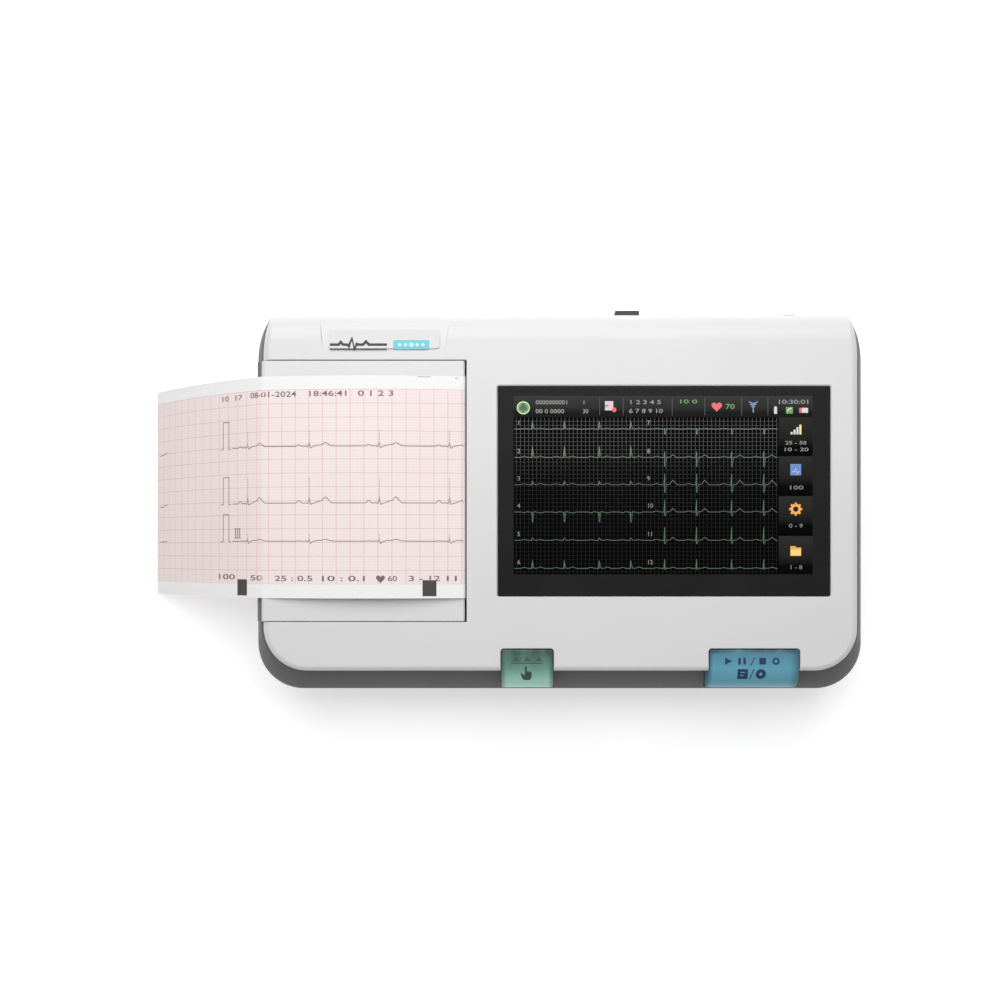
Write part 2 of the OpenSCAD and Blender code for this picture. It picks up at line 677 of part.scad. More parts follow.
// Each screw: start and end of the shank, start and end of the head.
module bracket_screws() color("Silver")
  for (s = [[-40.5, -37.3, -41.0, -40.34], [45.5, 48.8, 48.54, 49.3]]) {
    ybar(bracket_at, 1.0, s[0], s[1], $fn = 24);
    ybar(bracket_at, 1.9, s[2], s[3], $fn = 24);
  }
module print_head_springs() color("Silver") for (y = [-21, 5.4, 33])
  translate([slot_x + 3.43, y, top_z - 8.8]) rotate([0, 90, 0])
    coil([0, 0], 0, 2.74, 1.7, 0.25, 3);
// Flat cable from the print head to the underside of the main board.
module print_head_cable() color("SandyBrown") extrude_y(-2, 12) polygon([
  [slot_x + 0.3, platen_z - 3.25], [slot_x + 0.3, platen_z - 7], [-29.2, top_z - 26],
  [-20, board_z - 3.6], [-15, board_z - 2.2], [-8, board_z - 0.05], [-4, board_z - 0.05],
  [-4, board_z - 0.3], [-8, board_z - 0.3], [-15, board_z - 2.5], [-20, board_z - 3.9],
  [-29.4, top_z - 26.3], [slot_x, platen_z - 7.1], [slot_x, platen_z - 3.25]]);
module tear_bar() color("Silver") extrude_y(-35.5, 46.2) polygon([
  [slot_x + 0.4, top_z - 3.5], [slot_x + 0.4, top_z - 0.9], [slot_x + 0.28, top_z - 0.2],
  [slot_x + 0.18, top_z - 0.9], [slot_x + 0.18, top_z - 3.68],
  [slot_x + 2.2, top_z - 3.68], [slot_x + 2.2, top_z - 3.45]]);

// ---------- paper ----------
module paper_roll() color("Snow") difference() {
  ybar(roll_at, roll_r, paper_y0, paper_y1, $fn = 64);
  ybar(roll_at, 8.02, -60, 60);
}
module paper_core() color("Tan") difference() {
  ybar(roll_at, 8, paper_y0, paper_y1);
  ybar(roll_at, 6.2, -60, 60);
}
module paper_spindle() color("#4a4d52") union() {
  ybar(roll_at, 6.1, -35.6, 46.3);
  for (y = [-36.6, 46.1]) ybar(roll_at, 8.5, y, y + 1.2);
  ybar(roll_at, 2.4, -39.6, 50.2);
}

tray_y0 = -40.2;
tray_y1 = 50.8;
tray_wall = 1.5;
module paper_tray() color("#5b5f64") difference() {
  inner_y0 = tray_y0 + tray_wall;
  inner_y1 = tray_y1 - tray_wall;
  box(-95, -54.5, tray_y0, tray_y1, 4.6, top_z - 9);
  ybar(roll_at, 17.3, inner_y0, inner_y1, $fn = 64);
  box(-93.4, -56, inner_y0, inner_y1, roll_z, top_z);
  // open right side
  box(-74, -50, inner_y0, inner_y1, 11.5, top_z);
  // open-topped slots for the spindle ends
  for (y = [-41, 49]) {
    ybar(roll_at, 2.5, y, y + 3);
    mid_box(roll_x, 2.5, y, y + 3, roll_z, top_z);
  }
}

// Path of the paper in [x, z]: off the bottom of the roll, round the platen, up
// through the slot, left over the door and down to the table.
paper_t = 0.1;
paper_gap = 0.06;                                  // clearance to the roll and platen
span = platen_at - roll_at;
leave_a = atan2(span[1], span[0]) + asin((roll_r - platen_r) / norm(span));
bend_r = 1.25;                                     // bend at the slot
bend_at = [platen_x + platen_r + paper_gap - bend_r, top_z - 0.4];
bend_a = 81.5;                                     // angle turned through in the bend
turn_r = 3.5;                                      // turn over the door's left edge
turn_at = [door_x0 + edge_r, top_z - 3.4];
turn_a0 = 9.65;                                    // slope where the sheet meets that turn
turn_a1 = 31;                                      // slope where it leaves it
// The sheet falls along an arc from the turn to its hanging end.
fall_at = turn_at + turn_r * [-sin(turn_a1), cos(turn_a1)];
end_at = [-159.5, top_z - paper_drop + 0.3];
chord = fall_at - end_at;
chord_a = atan2(chord[1], chord[0]);
fall_r = norm(chord) / (2 * sin(chord_a - turn_a1));

// Smooth bow of the sheet over the door, from the bend (t = 0) to the turn (t = 1).
function bow(t, lift) = let (
    start = bend_at + (bend_r + lift) * [cos(bend_a), sin(bend_a)],
    end = turn_at + (turn_r + lift) * [-sin(turn_a0), cos(turn_a0)],
    run = start[0] - end[0],
    start_m = tan(90 - bend_a) * run,
    end_m = -tan(turn_a0) * run,
    t2 = t * t,
    t3 = t2 * t)
  [start[0] - run * t,
   start[1] * (2 * t3 - 3 * t2 + 1) + start_m * (t3 - 2 * t2 + t)
     + end[1] * (3 * t2 - 2 * t3) + end_m * (t3 - t2)];

// One face of the sheet, lifted off the inner face by lift.
function path(lift) = concat(
  [roll_at + (roll_r + paper_gap + lift) * [sin(leave_a), -cos(leave_a)]],
  arc(platen_at, platen_r + paper_gap + lift, leave_a - 90, 0, 8),
  arc(bend_at, bend_r + lift, 0, bend_a, 8),
  [for (i = [1 : 15]) bow(i / 16, lift)],
  [for (a = [turn_a0, 15, 20, 25, turn_a1]) turn_at + (turn_r + lift) * [-sin(a), cos(a)]],
  [for (i = [1 : 12]) let (a = turn_a1 + (chord_a - turn_a1) * i / 6)
    fall_at + fall_r * [sin(turn_a1), -cos(turn_a1)] + (fall_r + lift) * [-sin(a), cos(a)]]);

module paper_strip() color("MistyRose")
  extrude_y(paper_y0, paper_y1) polygon(concat(path(0), reversed(path(paper_t))));

// ---------- electronics ----------
module main_board() color("ForestGreen") difference() {
  box(-15.5, 99, -37, half_d - 4.5, board_z, board_z + board_t);
  for (b = board_bolts) zbar(b, 1.25, board_z - 1, board_z + 3);
  // clearance round the rear right housing post
  zbar(posts[3], 4.6, board_z - 1, board_z + 3);
}
module main_processor() color("#1c1c1e") box(28, 45, -8, 9, parts_z, board_z + 3.4);
module board_components() color("#33363a") {
  for (y = [5, 22, -12]) box(60, 72, y, y + 9, parts_z, board_z + 3);
  for (y = [-20, -8, 4]) zbar([84, y], 4, parts_z, board_z + 9, $fn = 32);
  box(45, 57, 32, 44, parts_z, board_z + 7);
}
module front_end_board() color("DarkGreen") difference() {
  box(78, 103.6, -19, 29, front_end_z, front_end_z + board_t);
  for (b = front_end_bolts) zbar(b, 1.25, front_end_z - 1, front_end_z + 3);
}
module front_end_shield() color("Silver") difference() {
  box(80, 94, -8, 18, front_end_z + 1.62, front_end_z + 7);
  box(80.4, 93.6, -7.6, 17.6, front_end_z + 1, front_end_z + 6.6);
}
module patient_socket() color("#3c4450") difference() {
  union() {
    // flange against the inside of the wall
    box(half_w - 9.1, half_w - 8.22, socket_y - 19.6, socket_y + 19.6, 13.65, 25.8);
    extrude_x(half_w - 9, half_w - 2.6) socket_outline();
    box(half_w - 17.4, half_w - 9, socket_y - 12.5, socket_y + 12.5, 13.65, 25.2);
  }
  for (y = jack_ys) xbar([y, socket_z], 1.65, half_w - 14, half_w, $fn = 32);
  // contact holes: last index in the row, height
  for (row = [[7, socket_z + 1.4], [6, socket_z - 1.4]], i = [0 : row[0]])
    xbar([socket_y + pin_pitch * (i - row[0] / 2), row[1]], 0.55, half_w - 8, half_w, $fn = 16);
}
module patient_jackscrews() color("Silver") for (y = jack_ys) difference() {
  union() {
    xbar([y, socket_z], 1.62, half_w - 11.5, half_w - 5, $fn = 32);
    xbar([y, socket_z], 2.7, half_w - 5.58, half_w - 0.98, $fn = 6);
  }
  xbar([y, socket_z], 1.3, half_w - 7.4, half_w + 2, $fn = 32);
}
module power_inlet() color("#26282b") difference() {
  union() {
    mid_box(inlet_x, 4.6, half_d - 9, half_d - 3.2, parts_z, board_z + 10);
    ybar(inlet_at, 4.4, half_d - 3.4, half_d + 0.7);
  }
  ybar(inlet_at, 2.9, half_d - 8, half_d + 2);
}
module usb_port() color("Silver") difference() {
  mid_box(usb_x, 6.6, half_d - 14.5, half_d + 0.5, board_z + 1.7, board_z + 8.8);
  for (z = [[2.2, 4.2], [5.9, 8.3]])
    mid_box(usb_x, 6.1, half_d - 10, half_d + 2, board_z + z[0], board_z + z[1]);
}

// Screw through a board with its underside at z, reaching depth below it.
module board_screw(at, z, depth) screw(at, z - depth, z + 3.4, 1.05, 2.2, 1.7, true);
module board_screws() color("Silver") {
  for (b = board_bolts) board_screw(b, board_z, 6);
  for (b = front_end_bolts) board_screw(b, front_end_z, 4);
  for (b = key_bolts) board_screw(b, key_board_z, 5.5);
}

// ---------- power, sound, base ----------
module battery_pack() color("RoyalBlue") {
  for (i = [0 : 2]) ybar([8 + 19 * i, 13.9], cell_r, -23.5, 29.5);
  // block joining the cells
  box(8, 46, -23.3, 29.3, 9.6, 18.2);
}
module battery_cover() color("#55585c") difference() {
  cover_box(0.3, 2, 3.25, 2.8);
  for (b = cover_bolts) zbar(b, 1.25, 1, 5, $fn = 24);
  for (b = cover_bolts) zbar(b, 2.3, 1, 2.4, $fn = 24);
  // seat of the middle foot
  zbar([0, 0], 5.1, 1, 2.5);
}
module battery_cover_screws() color("Silver")
  for (b = cover_bolts) screw(b, 2.02, 4.15, 1.0, 2.1, 0.38, false);
module speaker() color("#2a2a2a") difference() {
  union() {
    zbar(speaker_at, speaker_r, 4.45, 6);
    zbar(speaker_at, speaker_r * 0.7, 5.8, 11);
  }
  // cone
  translate([speaker_at[0], speaker_at[1], 4.3]) cylinder(r1 = speaker_r - 2.5, r2 = 3, h = 3.5);
}
module housing_screws() color("Silver") for (p = posts) screw(p, 3, 34, 1.5, 2.8, 2.4, false);
module badge_plate() color("Teal")
  on_badge_facet() round_box(-84, -43.8, 1.2, 8.4, 0.02, 0.6, 1.2);
module rubber_feet() color("Black") {
  for (f = feet) union() {
    zbar(f, 6, 1.9, 3.15);
    translate([f[0], f[1], 0]) cylinder(r1 = 5, r2 = 6, h = 2);
  }
  // middle foot under the battery cover, keeps the base from bowing
  cylinder(r1 = 4.4, r2 = 5, h = 2.48);
}

upper_housing();
lower_housing();
recorder_door();
door_trim();
door_inner_frame();
door_hinge_pin();
display_glass();
display_gasket();
lcd_module();
display_cable();
open_button();
print_button();
power_button();
latch_lever();
latch_pin();
latch_spring();
platen_roller();
platen_shaft();
platen_bushings();
platen_gear();
reduction_gear();
gear_stud();
stepper_motor();
motor_shaft();
motor_pinion();
recorder_chassis();
print_head();
print_head_heatsink();
print_head_bracket();
print_head_springs();
print_head_cable();
bracket_screws();
tear_bar();
paper_roll();
paper_core();
paper_spindle();
paper_tray();
paper_strip();
main_board();
main_processor();
board_components();
front_end_board();
front_end_shield();
key_board();
key_switch();
key_switch_plunger();
power_switch();
patient_socket();
patient_jackscrews();
power_inlet();
usb_port();
battery_pack();
battery_cover();
battery_cover_screws();
speaker();
board_screws();
housing_screws();
badge_plate();
rubber_feet();
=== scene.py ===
import math

import bmesh
import bpy
import numpy as np
from mathutils import Matrix, Vector


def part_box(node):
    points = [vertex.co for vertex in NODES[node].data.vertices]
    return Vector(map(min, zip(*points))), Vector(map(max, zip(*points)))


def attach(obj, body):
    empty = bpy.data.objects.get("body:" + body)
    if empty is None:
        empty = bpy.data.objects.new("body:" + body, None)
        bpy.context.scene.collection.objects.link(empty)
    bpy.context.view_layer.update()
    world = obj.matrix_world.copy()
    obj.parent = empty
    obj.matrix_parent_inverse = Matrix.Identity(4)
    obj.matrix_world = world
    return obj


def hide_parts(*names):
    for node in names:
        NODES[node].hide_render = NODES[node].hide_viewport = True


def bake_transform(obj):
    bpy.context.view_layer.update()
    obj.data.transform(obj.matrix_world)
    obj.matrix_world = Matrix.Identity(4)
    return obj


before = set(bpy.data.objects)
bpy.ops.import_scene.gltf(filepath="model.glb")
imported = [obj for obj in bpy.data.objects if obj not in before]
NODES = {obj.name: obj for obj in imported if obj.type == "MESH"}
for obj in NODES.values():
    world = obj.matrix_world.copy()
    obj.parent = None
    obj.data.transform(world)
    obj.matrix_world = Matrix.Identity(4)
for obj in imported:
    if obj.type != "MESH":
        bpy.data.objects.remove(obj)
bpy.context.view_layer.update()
MM = 0.001

# ------------------------------------------------------------------ sizes from the CAD
top_lo, top_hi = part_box("upper_housing")
low_lo, low_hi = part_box("lower_housing")
HW = (low_hi.x - low_lo.x) / 2 / MM          # half width of the grey belt
HD = (low_hi.y - low_lo.y) / 2 / MM
HD = 69.0 if abs(HD - 69.0) < 0.3 else HD
H = top_hi.z / MM                             # top panel
ZP = H - 9.5                                  # parting plane
WX = HW - 3.0                                 # half width of the white shell
YF = -HD + 8.0                                # front of the white shell
WALL, TOP_T = 2.2, 2.6
door_lo, door_hi = [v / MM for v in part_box("recorder_door")]
glass_lo, glass_hi = [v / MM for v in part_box("display_glass")]
paper_lo, paper_hi = [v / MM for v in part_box("paper_strip")]
SLOT_X = door_hi.x + 0.35
DY0, DY1 = door_lo.y, door_hi.y
HINGE_X, HINGE_Z = -HW + 6.3, H - 5.0
DOOR_X0 = -HW + 4.1


# ------------------------------------------------------------------ material kit
def lin(r, g=None, b=None):
    """0-255 display values to linear."""
    if g is None:
        g = b = r
    out = []
    for c in (r, g, b):
        c = c / 255
        out.append(c / 12.92 if c <= 0.04045 else ((c + 0.055) / 1.055) ** 2.4)
    return tuple(out)


class Mat:
    def __init__(self, name):
        self.m = bpy.data.materials.new(name)
        self.m.use_nodes = True
        self.t = self.m.node_tree
        self.t.nodes.clear()
        self.out = self.t.nodes.new("ShaderNodeOutputMaterial")
        self.b = self.t.nodes.new("ShaderNodeBsdfPrincipled")
        self.t.links.new(self.b.outputs[0], self.out.inputs[0])
        self._obj = None

    def node(self, kind, **props):
        n = self.t.nodes.new(kind)
        for k, v in props.items():
            setattr(n, k, v)
        return n

    def put(self, sock, value):
        if hasattr(value, "is_output") or isinstance(value, bpy.types.NodeSocket):
            self.t.links.new(value, sock)
        elif isinstance(value, (tuple, list)) and sock.type == "RGBA" and len(value) == 3:
            sock.default_value = (*value, 1.0)
        else:
            sock.default_value = value

    def set(self, **inputs):
        for k, v in inputs.items():
            self.put(self.b.inputs[k.replace("_", " ")], v)
        return self

    def obj(self):
        if self._obj is None:
            self._obj = self.node("ShaderNodeTexCoord").outputs["Object"]
        return self._obj

    def mapped(self, scale=(1, 1, 1), rot=(0, 0, 0), vec=None):
        n = self.node("ShaderNodeMapping")
        n.inputs["Scale"].default_value = scale
        n.inputs["Rotation"].default_value = rot
        self.put(n.inputs["Vector"], vec or self.obj())
        return n.outputs[0]

    def noise(self, scale, detail=2.0, rough=0.5, vec=None, distort=0.0):
        n = self.node("ShaderNodeTexNoise")
        n.inputs["Scale"].default_value = scale
        n.inputs["Detail"].default_value = detail
        n.inputs["Roughness"].default_value = rough
        n.inputs["Distortion"].default_value = distort
        self.put(n.inputs["Vector"], vec or self.obj())
        return n.outputs["Fac"]

    def voronoi(self, scale, feature="F1", vec=None):
        n = self.node("ShaderNodeTexVoronoi", feature=feature)
        n.inputs["Scale"].default_value = scale
        self.put(n.inputs["Vector"], vec or self.obj())
        return n.outputs["Distance"]

    def math(self, op, a, b=0.0, c=0.0, clamp=False):
        n = self.node("ShaderNodeMath", operation=op, use_clamp=clamp)
        self.put(n.inputs[0], a)
        self.put(n.inputs[1], b)
        self.put(n.inputs[2], c)
        return n.outputs[0]

    def remap(self, v, a, b, c, d):
        n = self.node("ShaderNodeMapRange", clamp=True)
        self.put(n.inputs["Value"], v)
        for k, x in zip(("From Min", "From Max", "To Min", "To Max"), (a, b, c, d)):
            n.inputs[k].default_value = x
        return n.outputs[0]

    def mix(self, fac, a, b, mode="MIX"):
        n = self.node("ShaderNodeMix", data_type="RGBA", blend_type=mode)
        self.put(n.inputs["Factor"], fac)
        self.put(n.inputs[6], a)
        self.put(n.inputs[7], b)
        return n.outputs[2]

    def xyz(self, vec=None):
        n = self.node("ShaderNodeSeparateXYZ")
        self.put(n.inputs[0], vec or self.obj())
        return n.outputs[0], n.outputs[1], n.outputs[2]

    def attr(self, name):
        n = self.node("ShaderNodeAttribute", attribute_name=name)
        return n.outputs["Vector"]

    def bump(self, height, strength, distance=0.0001, normal=None):
        n = self.node("ShaderNodeBump")
        n.inputs["Strength"].default_value = strength
        n.inputs["Distance"].default_value = distance
        self.put(n.inputs["Height"], height)
        if normal is not None:
            self.put(n.inputs["Normal"], normal)
        return n.outputs[0]

    def ramp(self, fac, stops):
        n = self.node("ShaderNodeValToRGB")
        el = n.color_ramp.elements
        while len(el) < len(stops):
            el.new(0.5)
        for e, (p, c) in zip(el, stops):
            e.position = p
            e.color = (*c, 1.0)
        self.put(n.inputs[0], fac)
        return n.outputs[0]


def plastic(name, rgb, rough=0.42, grain=0.00045, grain_amt=0.25, var=0.025, coat=0.0, rvar=0.06, wear=None, metal=0.0, spec=0.5):
    """Moulded plastic: spark-eroded grain, slow colour drift, rubbed gloss patches."""
    m = Mat(name)
    drift = m.noise(22, 3, 0.55)
    a = tuple(max(0, c * (1 - var)) for c in rgb)
    b = tuple(min(1, c * (1 + var)) for c in rgb)
    col = m.mix(m.remap(drift, 0.3, 0.7, 0, 1), a, b)
    speck = m.noise(1 / grain * 1.7, 1.0, 0.6)
    col = m.mix(m.remap(speck, 0.3, 0.7, 0.0, 0.5), col, tuple(c * (1 - var * 1.2) for c in rgb))
    if wear:
        scuff = m.noise(140, 5, 0.7, vec=m.mapped((1, 4, 1), (0, 0, 0.5)))
        col = m.mix(m.remap(scuff, 0.66, 0.80, 0, 0.35), col, wear)
    rub = m.noise(38, 4, 0.6)
    r = m.remap(rub, 0.3, 0.7, max(0.03, rough - rvar), min(1, rough + rvar))
    g = m.noise(1 / grain, 2.0, 0.5)
    fine = m.voronoi(0.7 / grain)
    h = m.math("ADD", g, m.math("MULTIPLY", fine, 0.4))
    m.set(Base_Color=col, Roughness=r, Metallic=metal, Normal=m.bump(h, grain_amt, 0.00004))
    m.b.inputs["Specular IOR Level"].default_value = spec
    if coat:
        m.b.inputs["Coat Weight"].default_value = coat
        m.b.inputs["Coat Roughness"].default_value = 0.12
    return m.m


def metal(name, rgb, rough=0.3, brushed=True, axis=(1, 60, 1), var=0.06, stain=None):
    """Machined or rolled metal with fine drawn lines and slight tarnish."""
    m = Mat(name)
    lines = m.noise(900, 2, 0.7, vec=m.mapped(axis))
    cloud = m.noise(60, 4, 0.6)
    col = m.mix(m.remap(cloud, 0.3, 0.7, 0, 1), tuple(c * (1 - var) for c in rgb), tuple(min(1, c * (1 + var)) for c in rgb))
    if stain:
        col = m.mix(m.remap(m.noise(150, 5, 0.7), 0.62, 0.78, 0, 0.5), col, stain)
    r = m.math("ADD", m.remap(cloud, 0.3, 0.7, max(0.05, rough - 0.07), rough + 0.07), m.remap(lines, 0.2, 0.8, -0.04, 0.06) if brushed else 0.0)
    m.set(Base_Color=col, Roughness=r, Metallic=1.0, Normal=m.bump(lines if brushed else cloud, 0.12 if brushed else 0.05, 0.00003))
    return m.m


def rubbery(name, rgb, rough=0.75):
    m = Mat(name)
    pores = m.noise(2600, 3, 0.7)
    dust = m.noise(90, 5, 0.7)
    col = m.mix(m.remap(dust, 0.45, 0.75, 0, 0.5), rgb, tuple(c + 0.03 for c in rgb))
    m.set(Base_Color=col, Roughness=m.remap(pores, 0.3, 0.7, rough - 0.08, min(1, rough + 0.1)), Normal=m.bump(pores, 0.35, 0.00005))
    return m.m


def board(name):
    m = Mat(name)
    x, y, z = m.xyz()
    trace = m.node("ShaderNodeTexBrick")
    trace.inputs["Scale"].default_value = 160
    trace.inputs["Mortar Size"].default_value = 0.035
    m.put(trace.inputs["Vector"], m.obj())
    trace.inputs["Color1"].default_value = (*lin(16, 84, 46), 1)
    trace.inputs["Color2"].default_value = (*lin(18, 92, 52), 1)
    trace.inputs["Mortar"].default_value = (*lin(40, 128, 74), 1)
    cloud = m.noise(120, 3, 0.6)
    col = m.mix(m.remap(cloud, 0.35, 0.7, 0, 0.4), trace.outputs["Color"], lin(10, 60, 34))
    m.set(Base_Color=col, Roughness=m.remap(cloud, 0.3, 0.7, 0.25, 0.42), Normal=m.bump(trace.outputs["Fac"], 0.3, 0.00003))
    return m.m


def glowing(name, rgb, glow=0.75, rough=0.12, dots=True):
    """Lit part of the display behind smooth glass: fine pixel rows, with some of the light its own."""
    m = Mat(name)
    cells = m.node("ShaderNodeTexVoronoi", feature="F1", distance="CHEBYCHEV")
    cells.inputs["Scale"].default_value = 3700
    cells.inputs["Randomness"].default_value = 0.0
    m.put(cells.inputs["Vector"], m.obj())
    f = m.remap(cells.outputs["Distance"], 0.25, 0.5, 1.0, 0.82 if dots else 0.95)
    cloud = m.noise(60, 2, 0.5)
    col = m.mix(m.remap(cloud, 0.3, 0.7, 0, 1), tuple(c * 0.94 for c in rgb), rgb)
    lit = m.mix(1.0, col, f, "MULTIPLY")
    m.set(Base_Color=tuple(c * 0.25 for c in rgb), Roughness=m.remap(cloud, 0.3, 0.7, rough - 0.03, rough + 0.04), Emission_Color=lit)
    m.b.inputs["Emission Strength"].default_value = glow
    return m.m


# ------------------------------------------------------------------ materials
white_mat = plastic("shell_white", lin(219, 218, 218), rough=0.42, grain=0.0005, grain_amt=0.10, var=0.010, coat=0.10, rvar=0.05)
plate_mat = plastic("badge_plate_white", lin(213, 212, 212), rough=0.45, grain=0.0005, grain_amt=0.10, var=0.010)
door_mat = plastic("door_white", lin(220, 219, 219), rough=0.40, grain=0.0005, grain_amt=0.10, var=0.010, coat=0.10, rvar=0.05)
grey_mat = plastic("shell_grey", lin(109, 109, 109), rough=0.55, grain=0.0006, grain_amt=0.45, var=0.05, wear=lin(124, 124, 124))
black_mat = plastic("plastic_black", lin(38, 39, 41), rough=0.5, grain=0.0005, grain_amt=0.35, var=0.08, wear=lin(60, 61, 63))
dark_mat = plastic("plastic_dark_grey", lin(82, 85, 89), rough=0.55, grain=0.0006, grain_amt=0.4, var=0.05, wear=lin(105, 108, 112))
ivory_mat = plastic("nylon_ivory", lin(226, 220, 198), rough=0.42, grain=0.0003, grain_amt=0.2, var=0.03)
yellow_mat = plastic("acetal_yellow", lin(205, 178, 78), rough=0.45, grain=0.0004, grain_amt=0.25, var=0.04)
steel_mat = metal("steel_zinc", lin(176, 178, 182), rough=0.34, stain=lin(150, 148, 140))
bright_mat = metal("steel_bright", lin(205, 207, 210), rough=0.18)
alu_mat = metal("aluminium_fins", lin(196, 198, 201), rough=0.32, axis=(60, 1, 1))
blade_mat = metal("steel_blade", lin(214, 215, 216), rough=0.5)
brass_mat = metal("brass_turned", lin(204, 170, 98), rough=0.28, brushed=False, stain=lin(150, 118, 60))
rubber_mat = rubbery("rubber_black", lin(34, 34, 35))
platen_mat = rubbery("platen_rubber", lin(46, 46, 48), 0.6)
board_mat = board("circuit_board")
ribbon_mat = plastic("ribbon_amber", lin(196, 128, 48), rough=0.3, grain=0.0008, grain_amt=0.1, var=0.05, coat=0.3)
battery_mat = plastic("battery_wrap", lin(44, 88, 158), rough=0.3, grain=0.0012, grain_amt=0.3, var=0.05, coat=0.3)
head_mat = plastic("head_ceramic", lin(120, 110, 100), rough=0.2, grain=0.0008, grain_amt=0.08, var=0.04, coat=0.5)
card_mat = plastic("core_card", lin(176, 148, 110), rough=0.9, grain=0.0007, grain_amt=0.6, var=0.08)


def glass_bezel():
    m = Mat("glass_black")
    smudge = m.noise(30, 5, 0.62, distort=0.6)
    col = m.mix(m.remap(smudge, 0.4, 0.8, 0, 1), lin(33, 33, 33), lin(37, 37, 37))
    m.set(Base_Color=col, Roughness=m.remap(smudge, 0.35, 0.75, 0.30, 0.40), Normal=m.bump(m.noise(220, 2, 0.5), 0.02, 0.00002))
    m.b.inputs["Specular IOR Level"].default_value = 0.06
    return m.m


glass_mat = glass_bezel()


def key_material(name, dark, mid, light, painted_shade_rgb, x0, x1, rim_l=1.8, rim_r=1.8, rough=0.34):
    """Tinted see-through key with painted light: painted shade at the rear edge, a painted highlight and added glow
    towards the front foot, painted shade over the rim.
    """
    m = Mat(name)
    x, y, z = m.xyz()
    along = m.remap(y, -0.0532, -0.0670, 0, 1)
    side = m.math("MINIMUM", m.math("DIVIDE", m.math("SUBTRACT", x, x0 * MM), rim_l * MM), m.math("DIVIDE", m.math("SUBTRACT", x1 * MM, x), rim_r * MM))
    # painted rim shade: mask that darkens the key towards its side walls
    painted_rim_shade = m.remap(side, 0.1, 1.0, 1, 0)
    cloud = m.noise(110, 3, 0.55, distort=0.8)
    wob = m.math("ADD", along, m.remap(cloud, 0.3, 0.7, -0.05, 0.05))
    # painted light along the key: painted shade at the rear edge, darker rear, painted highlight towards the front foot
    col = m.ramp(wob, [(0.0, painted_shade_rgb), (0.10, dark), (0.50, mid), (0.82, light), (1.0, light)])
    # painted glow: soft lighter streaks pulled towards the highlight colour
    glow = m.remap(m.noise(260, 2, 0.5, vec=m.mapped((1, 0.25, 1))), 0.35, 0.75, 0, 0.25)
    col = m.mix(glow, col, light)
    # painted shade laid over the rim
    col = m.mix(m.math("MULTIPLY", painted_rim_shade, 0.66), col, painted_shade_rgb)
    m.set(Base_Color=col, Roughness=m.remap(cloud, 0.3, 0.7, rough - 0.05, rough + 0.06), Normal=m.bump(m.noise(2200, 2, 0.5), 0.06, 0.00003),
          Emission_Color=col)
    # the key glows though it is no lamp: painted glow rising towards the front foot
    m.put(m.b.inputs["Emission Strength"], m.remap(along, 0.25, 1.0, 0.0, 0.34))
    m.b.inputs["Specular IOR Level"].default_value = 0.16
    m.b.inputs["Coat Weight"].default_value = 0.08
    m.b.inputs["Coat Roughness"].default_value = 0.22
    return m.m


def chart_paper():
    """Thermal chart paper: pale pink millimetre grid with heavier 5 mm lines and white margins."""
    m = Mat("chart_paper")
    x, y, z = m.xyz(m.attr("sheet"))          # x = run along the strip, y = place across it, both in mm
    g0, g1 = -29.6, 40.5

    def lines(v, pitch, width, offset=0.0):
        t = m.math("FRACT", m.math("DIVIDE", m.math("ADD", v, offset), pitch))
        d = m.math("ABSOLUTE", m.math("SUBTRACT", t, 0.5))
        return m.remap(d, 0.5 - width / pitch, 0.5 - width / pitch * 0.35, 0, 1)

    fine = m.math("MAXIMUM", lines(x, 1.0, 0.13), lines(y, 1.0, 0.13, 29.6))
    bold = m.math("MAXIMUM", lines(x, 5.0, 0.22, 1.2), lines(y, 5.0, 0.22, 29.6))
    inside = m.math("MULTIPLY", m.math("GREATER_THAN", y, g0), m.math("LESS_THAN", y, g1))
    fibre = m.noise(900, 4, 0.65, vec=m.mapped((1, 2.5, 1)))
    cloud = m.noise(26, 3, 0.5)
    white = m.mix(m.remap(fibre, 0.3, 0.7, 0, 1), lin(238, 238, 238), lin(244, 244, 243))
    pink = m.mix(m.remap(cloud, 0.3, 0.7, 0, 1), lin(241, 228, 227), lin(244, 232, 231))
    pink = m.mix(m.math("MULTIPLY", fine, 0.42), pink, lin(231, 203, 203))
    pink = m.mix(m.math("MULTIPLY", bold, 0.62), pink, lin(219, 180, 181))
    col = m.mix(inside, white, pink)
    h = m.math("ADD", fibre, m.noise(3500, 2, 0.5))
    m.set(Base_Color=col, Roughness=m.remap(fibre, 0.3, 0.7, 0.62, 0.78), Normal=m.bump(h, 0.12, 0.00003))
    m.b.inputs["Specular IOR Level"].default_value = 0.3
    return m.m


def ink(name, rgb, rough=0.7):
    m = Mat(name)
    n = m.noise(2600, 3, 0.7)
    col = m.mix(m.remap(n, 0.35, 0.7, 0, 1), rgb, tuple(min(1, c * 1.35 + 0.02) for c in rgb))
    m.set(Base_Color=col, Roughness=m.remap(n, 0.3, 0.7, rough - 0.1, min(1, rough + 0.1)), Normal=m.bump(n, 0.1, 0.00002))
    return m.m


def rolled_paper():
    m = Mat("paper_roll_side")
    x, y, z = m.xyz()
    dx = m.math("SUBTRACT", x, -0.075)
    dz = m.math("SUBTRACT", z, 0.0235)
    r = m.math("SQRT", m.math("ADD", m.math("MULTIPLY", dx, dx), m.math("MULTIPLY", dz, dz)))
    rings = m.node("ShaderNodeTexNoise", noise_dimensions="1D")
    rings.inputs["Scale"].default_value = 5000
    m.put(rings.inputs["W"], r)
    fibre = m.noise(700, 3, 0.6)
    col = m.mix(m.remap(rings.outputs["Fac"], 0.3, 0.7, 0, 1), lin(226, 222, 220), lin(243, 240, 238))
    col = m.mix(m.remap(fibre, 0.4, 0.7, 0, 0.3), col, lin(236, 222, 220))
    m.set(Base_Color=col, Roughness=0.72, Normal=m.bump(rings.outputs["Fac"], 0.25, 0.00005))
    return m.m


